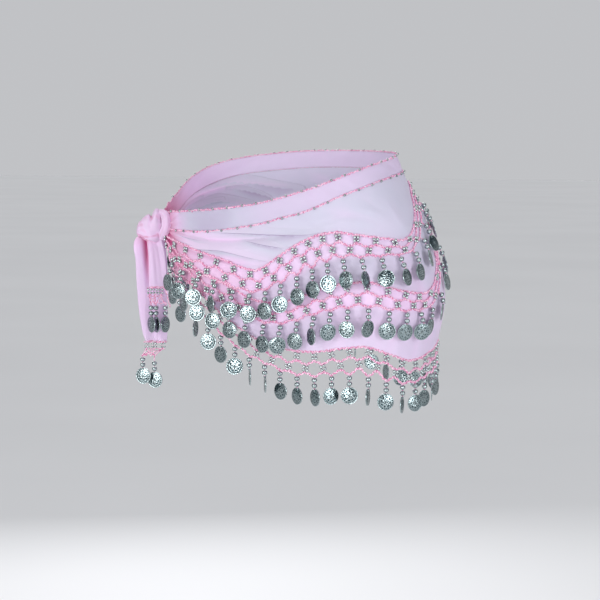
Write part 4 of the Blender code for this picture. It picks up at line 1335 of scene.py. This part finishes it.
def make_light(name, bearing, elevation, distance, size, power, colour):
    """An area light that faces the scarf."""
    data = bpy.data.lights.new(name, "AREA")
    data.shape, data.size, data.size_y = "RECTANGLE", *size
    data.energy, data.color = power, colour
    item = link_object(name, data)
    back = bearing_vector(math.radians(bearing), math.radians(elevation))
    item.location = Vector(LIGHTS_AIM) + back * distance
    item.rotation_mode = "QUATERNION"
    item.rotation_quaternion = back.to_track_quat("Z", "Y")


def make_stage():
    """A wide pale floor."""
    corners = [(x * FLOOR_HALF, y * FLOOR_HALF, FLOOR_HEIGHT)
               for x, y in ((-1, -1), (1, -1), (1, 1), (-1, 1))]
    mesh = bpy.data.meshes.new("floor")
    mesh.from_pydata(corners, [], [(0, 1, 2, 3)])
    material, tree, shader = new_material("floor_pale")
    fill(tree, shader, {"Base Color": ramp(tree, noise(tree, 0.8, 2.0, 0.5), FLOOR_RAMP), "Roughness": 0.9})
    mesh.materials.append(material)
    link_object("floor", mesh)


def make_world():
    """A studio: pale walls level with the scarf, dark above them, and a bright ceiling."""
    world = bpy.data.worlds.new("studio")
    world.use_nodes = True
    bpy.context.scene.world = world
    tree = world.node_tree
    split = tree.nodes.new("ShaderNodeSeparateXYZ")
    fill(tree, split, {0: coordinates(tree, "Generated")})
    level = node(tree, "ShaderNodeMapRange",
                 {"Value": split.outputs["Z"], "From Min": -1.0, "From Max": 1.0})
    fill(tree, tree.nodes["Background"], {"Color": ramp(tree, level, SKY), "Strength": 1.0})


bpy.context.scene.view_settings.view_transform = "Standard"
make_camera()
make_stage()
make_world()
for light in LIGHTS:
    make_light(*light)

cloth = make_cloth()
waistband = make_waistband()
edging, band_beads = make_band_edging()
nets = [make_net(tier) for tier in (1, 2, 3)]
rows = [make_drops(tier) for tier in (1, 2, 3)]
knot = make_knot()
long_tail, long_hem = make_tail("chiffon_long_tail", LONG_TAIL, 0.0, -69 * MM)
short_tail, short_hem = make_tail("chiffon_short_tail", SHORT_TAIL, SHORT_TAIL_CORNER, -67 * MM)
long_trim = make_tail_trim("long_tail", LONG_TAIL, LONG_TAIL_CLUSTERS, LONG_TAIL_DROPS,
                           long_hem, 1.0 * MM)
short_trim = make_tail_trim("short_tail", SHORT_TAIL, SHORT_TAIL_CLUSTERS, SHORT_TAIL_DROPS,
                            short_hem, 0.4 * MM)

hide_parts("main_cloth")
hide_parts("waistband")
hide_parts("net_tier_1")
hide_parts("net_tier_2")
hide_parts("net_hem_front", "net_hem_back")
for tier_number, row in enumerate(rows, 1):
    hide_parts(f"coin_fringe_{tier_number}")
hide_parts("knot")
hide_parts("tail_long")
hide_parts("tail_short")
for tail_name, trim in (("tail_long", long_trim), ("tail_short", short_trim)):
    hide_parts(f"{tail_name}_net")
    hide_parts(f"{tail_name}_coins")

# The main cloth is a long panel, deep in the middle and tapering to the knot; the nets' and drops' pieces
# are gathered into one list.
trims = [piece for net in nets for piece in net] + [piece for row in rows for piece in row]
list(long_trim[2])
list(short_trim[2])
